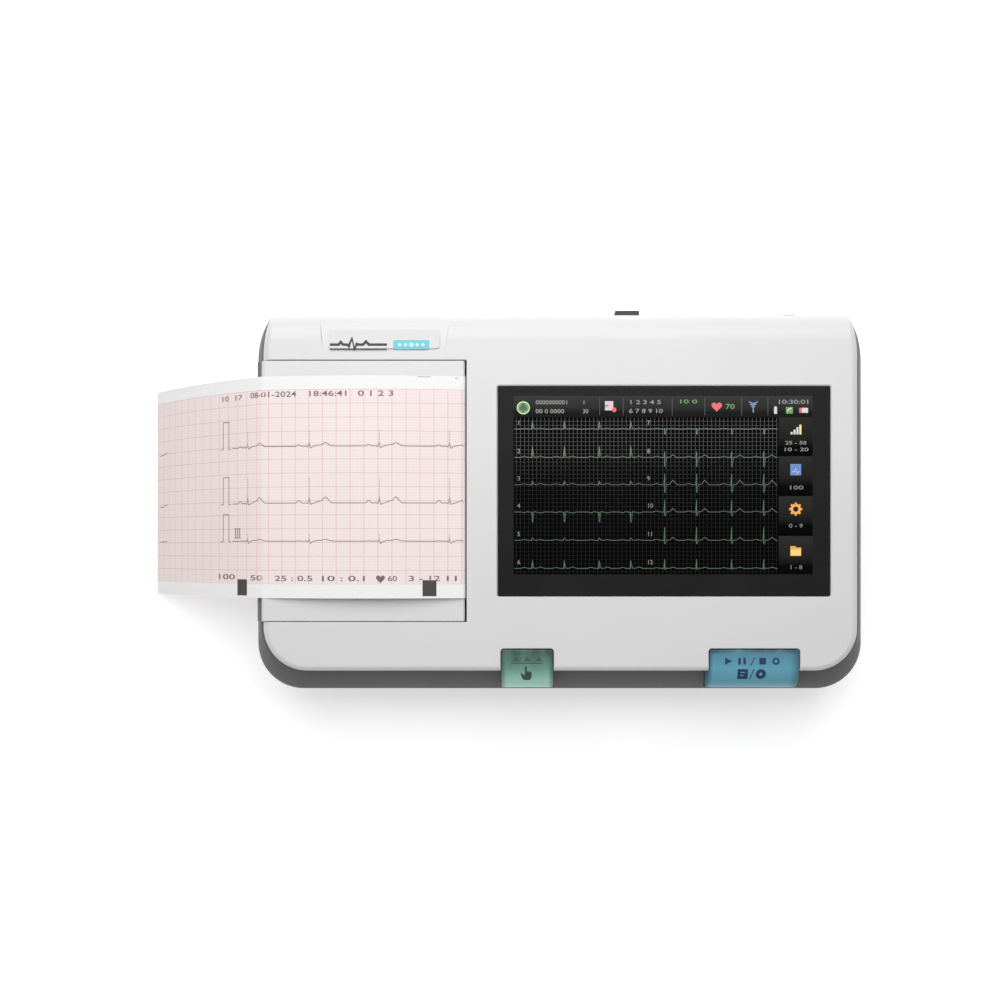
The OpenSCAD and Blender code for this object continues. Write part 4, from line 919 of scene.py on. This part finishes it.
BASES = (11.95, 22.2, 32.1, 41.95, 52.2, 62.35)
LEFT = (6.75, 18.3, 30.9, 42.3)
RIGHT = (54.6, 66.1, 78.8, 90.4)
left_rows = ((2.9, 0, 0.3, 0.2), (4.3, 0, 0.5, 0.4), (1.4, 0, 0.5, 0.3), (0, 3.9, -0.4, -0.3), (0.9, 0, 0.3, 0.3), (3.0, 0, 0.6, 0.4))
right_rows = ((0.3, 2.1, 0.2, 0.2), (2.2, 3.8, 0.9, 0.4), (4.2, 3.1, 1.7, 0.4), (4.7, 1.5, 1.3, 0.4), (5.1, 1.4, 1.1, 0.4), (3.5, 0.4, 0.5, 0.3))
for b, lr, rr in zip(BASES, left_rows, right_rows):
    art.line("trace", beats(0.3, 47.6, b, LEFT, lr[0], lr[1], lr[2], lr[3], 1), 0.20, 2)
    art.line("trace", beats(47.6, 95.4, b, RIGHT, rr[0], rr[1], rr[2], rr[3], 1), 0.20, 2)
    for c, (u, d) in [(c, (lr[0], lr[1])) for c in LEFT] + [(c, (rr[0], rr[1])) for c in RIGHT]:
        if u + d > 1.2:
            art.line("trace", [(c - 0.02, b + d * 0.9), (c + 0.02, b - u * 0.9)], 0.26, 3)
for i, b in enumerate(BASES):
    art.text("label", str(i + 1), 1.3, b - 2.2, 2.2, 2)
    art.text("label", str(i + 7), 48.2, b - 2.2, 2.2, 2)
# status bar
art.disc("lime", 3.5, 4.3, 2.35, 2)
art.disc("green", 3.5, 4.3, 2.0, 3)
art.poly("dark", [(2.1, 5.1), (4.9, 5.1), (4.5, 3.9), (3.9, 2.7), (3.1, 2.7), (2.5, 3.9)], 4)
art.rect("dark", 3.2, 5.1, 3.8, 5.8, 4)
for r, y in (("0000000001", 2.4), ("00 0 0000", 5.6)):
    art.text("label", r, 7.9, y, 2.1, 2, width=11.4 if y < 3 else 10.3)
for r, y in (("1", 2.4), ("30", 5.6)):
    art.text("label", r, 24.9, y, 2.1, 2)
art.rect("pale", 33.0, 1.9, 36.0, 5.2, 2)
art.rect("pink", 33.5, 2.3, 35.6, 4.6, 3)
art.rect("blue", 33.0, 3.2, 34.2, 4.0, 4)
art.disc("red", 36.3, 5.0, 0.85, 4)
art.text("label", "1 2 3 4 5", 41.6, 2.3, 2.1, 2, width=11.0)
art.text("label", "6 7 8 9 10", 41.6, 5.5, 2.1, 2, width=12.2)
art.text("green", "10 0", 59.4, 2.1, 2.0, 2, width=6.2)


def heart(key, x, y, s, layer, art_):
    pts = []
    for i in range(40):
        t = 2 * math.pi * i / 40
        hx = 16 * math.sin(t) ** 3
        hy = 13 * math.cos(t) - 5 * math.cos(2 * t) - 2 * math.cos(3 * t) - math.cos(4 * t)
        pts.append((x + hx * s / 16, y - hy * s / 16 * (1 if art_ is art else -1)))
    art_.poly(key, pts if art_ is not art else pts[::-1], layer)


heart("red", 73.4, 3.8, 1.9, 3, art)
art.text("green", "70", 76.5, 3.9, 2.6, 2, width=3.2)
for k in range(3):
    art.line("steelblue", [(85.0 + 0.55 * k, 2.1 + 0.75 * k), (86.6, 2.8 + 0.9 * k), (88.2 - 0.55 * k, 2.1 + 0.75 * k)], 0.4, 3)
art.line("steelblue", [(86.6, 3.0), (86.6, 6.0)], 0.45, 3)
art.text("label", "10:30:01", 95.2, 2.2, 2.1, 2, width=10.6)
art.rect("pale", 94.1, 4.0, 95.2, 6.5, 3)
art.rect("pale", 94.4, 3.7, 94.9, 4.0, 3)
art.rect("green", 98.4, 4.0, 100.9, 6.4, 3)
art.line("lime", [(98.9, 5.6), (99.5, 4.7), (100.5, 4.4)], 0.35, 4)
art.rect("pale", 103.2, 4.3, 106.4, 6.1, 3)
art.rect("red", 103.2, 4.3, 104.2, 6.1, 4)
for u in (31.0, 39.5, 57.2, 69.0, 82.3, 91.8):
    art.rect("gridline", u, 0.6, u + 0.2, 7.0, 2)
# soft keys
for k, h_ in enumerate((0.9, 1.7, 2.6, 3.5)):
    art.rect("amber" if k == 3 else "pale", 100.1 + 1.05 * k, 13.9 - h_, 100.85 + 1.05 * k, 13.9, 3)
art.text("label", "25 - 50", 102.0, 17.0, 1.8, 3, width=7.6, align="CENTER")
art.text("label", "10 - 20", 102.0, 19.4, 1.8, 3, width=8.6, align="CENTER")
art.rect("blue", 100.0, 24.6, 103.9, 28.7, 3)
art.rect("steelblue", 100.3, 24.9, 103.6, 25.7, 4)
art.line("pale", [(100.5, 27.4), (101.6, 27.4), (102.0, 26.2), (102.5, 28.2), (102.9, 27.4), (103.5, 27.4)], 0.25, 5)
art.text("label", "100", 102.0, 33.2, 2.0, 3, width=4.8, align="CENTER")
art.hoop("orange", 101.95, 40.9, 0.95, 1.85, 3)
for k in range(8):
    a = math.pi * k / 4
    art.line("orange", [(101.95 + 1.6 * math.cos(a), 40.9 + 1.6 * math.sin(a)), (101.95 + 2.35 * math.cos(a), 40.9 + 2.35 * math.sin(a))], 0.75, 3)
art.text("label", "0 - 9", 102.0, 47.0, 2.0, 3, width=5.0, align="CENTER")
art.rect("orange", 100.0, 54.3, 102.0, 55.2, 3)
art.rect("orange", 100.0, 54.8, 103.9, 57.8, 3)
art.rect("amber", 100.2, 55.6, 103.7, 57.6, 4)
art.text("label", "1 - 8", 102.0, 62.0, 2.0, 3, width=4.2, align="CENTER")
art.build("screen", screen_mats, screen_place, "machine")


# ------------------------------------------------------------------ paper strip
def paper_path():
    """(x, z, run) along the underside of the sheet, from the roll to the free end; run is 0 at the slot, growing to the left."""
    px, pz, pr = -39.1, H - 8.0, 4.45
    rx, rz, rr = -75.0, 23.5, 15.5
    gap = 0.06
    dx, dz = px - rx, pz - rz
    ang = math.atan2(dz, dx) + math.asin((rr - pr) / math.hypot(dx, dz))
    pts = []
    p1 = (rx + (rr + gap) * math.sin(ang), rz - (rr + gap) * math.cos(ang))
    p2 = (px + (pr + gap) * math.sin(ang), pz - (pr + gap) * math.cos(ang))
    for i in range(16):
        t = i / 16
        pts.append((p1[0] + (p2[0] - p1[0]) * t, p1[1] + (p2[1] - p1[1]) * t))
    for i in range(13):
        a = ang - math.pi / 2 + (math.pi / 2 - ang) * i / 12
        pts.append((px + (pr + gap) * math.cos(a), pz + (pr + gap) * math.sin(a)))
    x = px + pr + gap
    for i in range(1, 40):
        pts.append((x, pz + (H - 0.4 - pz) * i / 40))
    b, out_a, edge_a, fall_a = 1.25, 81.5, 9.65, 31.0
    cx, cz = x - b, H - 0.4
    for i in range(17):
        a = math.radians(out_a * i / 16)
        pts.append((cx + b * math.cos(a), cz + b * math.sin(a)))
    ex, ez = DOOR_X0 + 1.8, H - 3.4
    a0, b0 = pts[-1], (ex - 3.5 * math.sin(math.radians(edge_a)), ez + 3.5 * math.cos(math.radians(edge_a)))
    L = a0[0] - b0[0]
    ma, mb = math.tan(math.radians(90 - out_a)) * L, -math.tan(math.radians(edge_a)) * L
    for i in range(1, 56):
        t = i / 56
        pts.append((a0[0] - L * t, a0[1] * (2 * t**3 - 3 * t**2 + 1) + ma * (t**3 - 2 * t**2 + t) + b0[1] * (3 * t**2 - 2 * t**3) + mb * (t**3 - t**2)))
    for i in range(9):
        a = math.radians(edge_a + (fall_a - edge_a) * i / 8)
        pts.append((ex - 3.5 * math.sin(a), ez + 3.5 * math.cos(a)))
    f, e = pts[-1], (-159.47, 1.25)
    chord_a = math.atan2(f[1] - e[1], f[0] - e[0])
    fr = math.hypot(f[0] - e[0], f[1] - e[1]) / (2 * math.sin(chord_a - math.radians(fall_a)))
    fcx, fcz = f[0] + fr * math.sin(math.radians(fall_a)), f[1] - fr * math.cos(math.radians(fall_a))
    for i in range(1, 49):
        a = math.radians(fall_a) + (chord_a - math.radians(fall_a)) * i / 24
        pts.append((fcx - fr * math.sin(a), fcz + fr * math.cos(a)))
    out, run = [], 0.0
    lengths = [0.0]
    for a, b2 in zip(pts, pts[1:]):
        lengths.append(lengths[-1] + math.hypot(b2[0] - a[0], b2[1] - a[1]))
    zero = next(L for (x, z), L in zip(pts, lengths) if z > H and x < -36.2)
    return [(x, z, L - zero) for (x, z), L in zip(pts, lengths)]


PATH = paper_path()
P_RUN = np.array([p[2] for p in PATH])
P_X = np.array([p[0] for p in PATH])
P_Z = np.array([p[1] for p in PATH])
PY0, PY1 = paper_lo.y, paper_hi.y
SHEET = 0.1


def on_sheet(run, lift):
    """Point (x, z) at a run along the sheet, lifted off its underside."""
    x, z = np.interp(run, P_RUN, P_X), np.interp(run, P_RUN, P_Z)
    x2, z2 = np.interp(run + 0.4, P_RUN, P_X), np.interp(run + 0.4, P_RUN, P_Z)
    x1, z1 = np.interp(run - 0.4, P_RUN, P_X), np.interp(run - 0.4, P_RUN, P_Z)
    tx, tz = x2 - x1, z2 - z1
    L = math.hypot(tx, tz) or 1
    nx, nz = tz / L, -tx / L              # to the outside of the bend (upwards on the door)
    return x + nx * lift, z + nz * lift


ny = 20
ys = [PY0 + (PY1 - PY0) * j / ny for j in range(ny + 1)]
verts, sheet = [], []
for lift in (0.0, SHEET):
    for r in P_RUN:
        x, z = on_sheet(r, lift)
        for y in ys:
            verts.append((x, y, z))
            sheet.append((r, y, lift))
m_, n_ = len(P_RUN), ny + 1
idx = lambda s, i, j: s * m_ * n_ + i * n_ + j
faces = []
for i in range(m_ - 1):
    for j in range(ny):
        faces.append([idx(0, i, j), idx(0, i, j + 1), idx(0, i + 1, j + 1), idx(0, i + 1, j)][::-1])
        faces.append([idx(1, i, j), idx(1, i, j + 1), idx(1, i + 1, j + 1), idx(1, i + 1, j)])
    faces.append([idx(0, i, 0), idx(0, i + 1, 0), idx(1, i + 1, 0), idx(1, i, 0)][::-1])
    faces.append([idx(0, i, ny), idx(0, i + 1, ny), idx(1, i + 1, ny), idx(1, i, ny)])
for j in range(ny):
    faces.append([idx(0, 0, j), idx(0, 0, j + 1), idx(1, 0, j + 1), idx(1, 0, j)])
    faces.append([idx(0, m_ - 1, j), idx(0, m_ - 1, j + 1), idx(1, m_ - 1, j + 1), idx(1, m_ - 1, j)][::-1])
strip = make("chart_strip", verts, faces, paper_mat)
at = strip.data.attributes.new("sheet", "FLOAT_VECTOR", "POINT")
at.data.foreach_set("vector", np.array(sheet, np.float32).ravel())
bm = bmesh.new()
bm.from_mesh(strip.data)
bmesh.ops.recalc_face_normals(bm, faces=bm.faces)
bm.to_mesh(strip.data)
bm.free()
strip.data.shade_smooth()
strip.data.set_sharp_from_angle(angle=math.radians(50))
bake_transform(strip)
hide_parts("paper_strip")

# print on the sheet: x is the run from the slot, y the place across
chart = Art()


def chart_text(s, run_left, run_right, y, size):
    """Digits that read left to right across the sheet."""
    chart.text("ink", s, 0, 0, size, 1, width=run_left - run_right)
    v, f, layer = chart.sets["ink"].pop()
    x0 = min(a for a, _ in v)
    chart.sets["ink"].append(([(run_left - (a - x0), y + b) for a, b in v], [g[::-1] for g in f], layer))


chart.sets["ink"] = []
chart_text("10  17", 92.0, 81.0, 38.4, 2.6)
chart_text("08-01-2024", 77.0, 58.4, 38.7, 2.8)
chart_text("18:46:41", 53.6, 40.1, 38.8, 2.8)
chart_text("0 1 2 3", 36.0, 23.3, 38.8, 2.8)
chart_text("100", 94.0, 85.0, -27.3, 2.7)
chart_text("50", 77.0, 71.0, -27.5, 2.7)
chart_text("25 : 0.5", 66.5, 52.5, -27.6, 2.7)
chart_text("10 : 0.1", 49.0, 33.5, -27.6, 2.7)
chart_text("60", 25.3, 22.0, -27.6, 2.7)
chart_text("3 - 12", 17.8, 6.6, -27.6, 2.7)
chart_text("11", 4.2, 0.6, -27.6, 2.7)
heart("ink", 27.9, -27.6, 1.6, 1, chart)
chart.sets["ink"][-1] = ([(55.8 - a, b) for a, b in chart.sets["ink"][-1][0]], chart.sets["ink"][-1][1], 1)
ROWS = ((20.0, 6.0, 1.3, 0.5, 0.7), (-0.4, 9.3, 2.2, 0.9, 0.5), (-14.1, 2.8, 0.7, 0.1, 0.9))
BEATS = (78.3, 53.6, 28.3, 3.2)
for base_y, tall, t_h, p_h, s_d in ROWS:
    chart.line("ink", [(93.0, base_y - 0.2), (91.5, base_y - 0.2), (91.5, base_y + 9.8), (88.3, base_y + 9.8), (88.3, base_y - 0.2), (87.3, base_y - 0.2)], 0.30, 1)
    pts = [(86.4, base_y)]
    for c in BEATS:
        pts += [(c + 4.9, base_y), (c + 4.2, base_y + p_h * 0.8), (c + 3.6, base_y + p_h), (c + 2.8, base_y), (c + 0.9, base_y + 0.05), (c + 0.5, base_y - 0.3)]
        pts += [(c + 0.02, base_y + tall * 0.25), (c - 0.45, base_y - s_d), (c - 0.9, base_y - 0.3), (c - 2.6, base_y + 0.25), (c - 4.6, base_y + t_h * 0.45),
                (c - 5.8, base_y + t_h), (c - 6.7, base_y + t_h * 0.7), (c - 7.9, base_y + 0.1), (c - 10, base_y)]
    pts = [p for p in pts if -1.8 < p[0] <= 86.4]
    pts = sorted(pts, key=lambda p: -p[0])
    pts.append((-1.9, base_y))
    dense = []
    for a, b in zip(pts, pts[1:]):
        k = max(1, int((a[0] - b[0]) / 0.35))
        dense += [(a[0] + (b[0] - a[0]) * i / k, a[1] + (b[1] - a[1]) * i / k) for i in range(k)]
    chart.line("ink", dense + [pts[-1]], 0.27, 1)
    for c in BEATS:
        n = max(3, int(tall / 0.9))
        for i in range(n):
            y0 = base_y + tall * i / n
            chart.line("faint", [(c, y0), (c + 0.03, y0 + tall / n * 0.74)], 0.26, 1)
    chart.line("ink", [(141.2, base_y - 0.3), (137.0, base_y - 0.2), (133.5, base_y + (0.1 if base_y > -5 else -0.1)), (130.5, base_y + (0.9 if base_y > -5 else 0.0))], 0.28, 1)
for k in range(3):
    chart.line("ink", [(84.8 - 1.15 * k, -12.8), (84.8 - 1.15 * k, -9.6)], 0.42, 1)
chart.line("ink", [(85.4, -9.5), (81.9, -9.5)], 0.26, 1)
chart.line("ink", [(85.4, -12.9), (81.9, -12.9)], 0.26, 1)
chart.poly("mark", [(7.9, -33.9), (12.9, -33.9), (12.9, -28.1), (7.9, -28.1)], 1)
for k in range(5):
    chart.poly("mark", [(78.7 + k, -33.9), (79.7 + k, -33.9), (79.7 + k, -28.0), (78.7 + k, -28.0)], 1)
chart.line("faint", [(10.0, 44.9), (14.6, 44.9)], 0.30, 1)
chart.line("faint", [(0.1, 44.6), (1.2, 44.6)], 0.35, 1)
faint_mat = ink("thermal_ink_faint", lin(176, 152, 154))


def chart_place(run, y, dz):
    x, z = on_sheet(run, SHEET + 0.014 + dz)
    return (x, y, z)


for o in chart.build("chart", {"ink": ink_mat, "faint": faint_mat, "mark": mark_mat}, chart_place, None, 0.004):
    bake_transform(o)

# ------------------------------------------------------------------ badge, key icons
badge = Art()
badge.line("ink", [(0, 0), (3.2, 0), (3.9, 1.0), (4.7, 0), (6.2, 0), (6.9, -0.6), (7.9, 2.4), (8.9, -1.6), (9.7, 0.3), (10.4, 0), (12.0, 0), (13.0, 1.2), (14.1, 0),
                   (16.4, 0), (20.6, 0)], 1.0, 1)
badge.rect("ink", 0, -1.9, 20.6, -1.45, 1)
pill = [(22.9 + x, y) for x, y in rrect(0, 13.0, -1.75, 1.75, 0.5)]
badge.poly("teal", pill, 1)
for k in range(5):
    badge.disc("light", 25.2 + 2.1 * k, 0, 0.62 if k != 2 else 0.85, 2, 18)
light_mat = plastic("badge_light", lin(196, 228, 232), rough=0.4, grain=0.0006, grain_amt=0.1)
bl, bh = [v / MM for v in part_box("badge_plate")]


def badge_place(x, y, dz):
    p = base @ Vector((-83.4 + x, 2.6 + y, 0.615 + dz))
    return tuple(p)


badge.build("badge", {"ink": badge_ink, "teal": badge_teal, "light": light_mat}, badge_place, "machine", 0.008)

prof = [p for p in key_profile() if p[1] > ZP - 2]
prof = prof[1:]


def key_place(x, y, dz):
    """x across the key, y = plan distance from its rear edge; the point sits on the outer surface."""
    at_y = lambda v: (-53.2 - v, float(np.interp(v, [-53.2 - p[0] for p in prof], [p[1] for p in prof])))
    yy, zz = at_y(y)
    (ya, za), (yb, zb) = at_y(y - 0.3), at_y(y + 0.3)
    ty, tz = yb - ya, zb - za
    L = math.hypot(ty, tz) or 1
    return (x, yy + tz / L * (0.03 + dz), zz - ty / L * (0.03 + dz))


def hand(art_, key, x, y, s):
    """Pointing hand: finger, palm, cuff."""
    f = lambda pts: [(x + a * s, y + b * s) for a, b in pts]
    art_.poly(key, f([(-0.55, -3.0), (0.15, -3.0), (0.3, -2.6), (0.35, 0.0), (-0.6, 0.0), (-0.7, -2.6)][::-1]), 1)
    art_.poly(key, f([(-0.6, -0.3), (2.1, -0.5), (2.4, 0.2), (2.3, 1.9), (1.6, 3.2), (-1.1, 3.2), (-1.9, 1.9), (-2.5, 0.3), (-1.9, -0.1), (-1.2, 0.7), (-0.6, 0.7)][::-1]), 1)
    for k in range(2):
        art_.poly(key, f([(0.5 + 0.85 * k, -1.0 + 0.2 * k), (1.15 + 0.85 * k, -0.9 + 0.2 * k), (1.2 + 0.85 * k, 0.2), (0.45 + 0.85 * k, 0.2)][::-1]), 1)


icons = Art(-1)
for k in range(3):
    cx = -16.2 + 4.1 * k
    icons.poly("green_ink", [(cx - 1.35, 4.2), (cx + 1.35, 4.2), (cx, 2.3)][::-1], 1)
icons.line("green_ink", [(-17.9, 4.9), (-6.7, 4.9)], 0.4, 1)
hand(icons, "green_ink", -12.5, 8.6, 0.82)
icons.poly("blue_ink", [(59.2, 2.9), (59.2, 5.5), (61.8, 4.2)], 1)
icons.rect("blue_ink", 64.0, 3.0, 64.9, 5.4, 1)
icons.rect("blue_ink", 65.8, 3.0, 66.7, 5.4, 1)
icons.line("blue_ink", [(69.9, 2.8), (68.5, 5.7)], 0.35, 1)
icons.rect("blue_ink", 71.6, 3.0, 74.0, 5.4, 1)
icons.hoop("blue_ink", 77.6, 4.2, 0.65, 1.3, 1)
icons.rect("blue_ink", 63.9, 7.1, 67.6, 10.8, 1)
icons.poly("pale_ink", [(64.9, 8.1), (66.6, 8.1), (66.6, 8.5), (64.9, 8.5)], 2)
icons.poly("pale_ink", [(64.9, 9.2), (66.0, 9.2), (66.0, 9.6), (64.9, 9.6)], 2)
icons.line("blue_ink", [(69.7, 7.1), (68.4, 10.8)], 0.35, 1)
icons.disc("blue_ink", 72.3, 8.95, 1.85, 1)
icons.disc("pale_ink", 72.3, 8.95, 0.6, 2)
pale_ink = ink("key_ink_pale", lin(96, 150, 176), 0.45)
for o in icons.build("icon", {"green_ink": key_ink_green, "blue_ink": key_ink_blue, "pale_ink": pale_ink}, key_place, None, 0.008, cuts=np.arange(1.05, 13, 0.3)):
    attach(o, "open_key" if "green" in o.name else "print_key")

# ------------------------------------------------------------------ carried-over CAD nodes
for n, o in NODES.items():
    look = CAD_LOOKS.get(n, dark_mat)
    if not o.data.materials:
        o.data.materials.append(look)
    for s in range(len(o.data.materials)):
        o.data.materials[s] = look
    if not o.hide_render:
        o.data.shade_smooth()
        o.data.set_sharp_from_angle(angle=math.radians(35))

# ------------------------------------------------------------------ stage, light, camera
def stage_material():
    m = Mat("floor_white")
    n = m.noise(3, 2, 0.5)
    col = m.mix(n, lin(248, 248, 248), lin(250, 250, 250))
    m.set(Base_Color=col, Roughness=0.9, Emission_Color=(1, 1, 1))
    m.b.inputs["Emission Strength"].default_value = 0.40
    m.b.inputs["Specular IOR Level"].default_value = 0.0
    return m.m


floor = make("floor", [(-60000, -60000, -0.05), (60000, -60000, -0.05), (60000, 60000, -0.05), (-60000, 60000, -0.05)], [[0, 1, 2, 3]], stage_material())


def area(name, loc, target, size, power, color=(1, 1, 1), size_y=None):
    L = bpy.data.lights.new(name, "AREA")
    L.energy, L.color, L.size = power, color, size
    if size_y:
        L.shape, L.size_y = "RECTANGLE", size_y
    o = link(bpy.data.objects.new(name, L))
    o.location = loc
    o.rotation_euler = (Vector(target) - Vector(loc)).to_track_quat("-Z", "Y").to_euler()
    o.visible_camera = False
    return o


area("key_light", (-0.02, 0.30, 0.50), (-0.01, 0.0, 0.03), 0.58, 3.05)
area("fill_light", (-0.8, -0.25, 0.9), (0, 0, 0.03), 1.2, 1.1)
world = bpy.data.worlds.new("studio")
bpy.context.scene.world = world
world.use_nodes = True
bg = world.node_tree.nodes["Background"]
bg.inputs[0].default_value = (1, 1, 1, 1)
rays = world.node_tree.nodes.new("ShaderNodeLightPath")
level = world.node_tree.nodes.new("ShaderNodeMapRange")
level.inputs["To Min"].default_value, level.inputs["To Max"].default_value = 0.345, 0.74
world.node_tree.links.new(rays.outputs["Is Camera Ray"], level.inputs["Value"])
world.node_tree.links.new(level.outputs[0], bg.inputs[1])

cam = bpy.data.cameras.new("camera")
cam.sensor_width, cam.lens = 36.0, 41.87
cam.shift_x, cam.shift_y = -0.020, 0.047
cam.clip_start, cam.clip_end = 0.01, 20
cam_o = link(bpy.data.objects.new("camera", cam))
cam_o.location = (-0.01475, -0.0162, (H + 420) * MM)
cam_o.rotation_euler = (0, 0, 0)
bpy.context.scene.camera = cam_o
bpy.context.scene.view_settings.view_transform = "Standard"
bpy.context.scene.view_settings.look = "None"
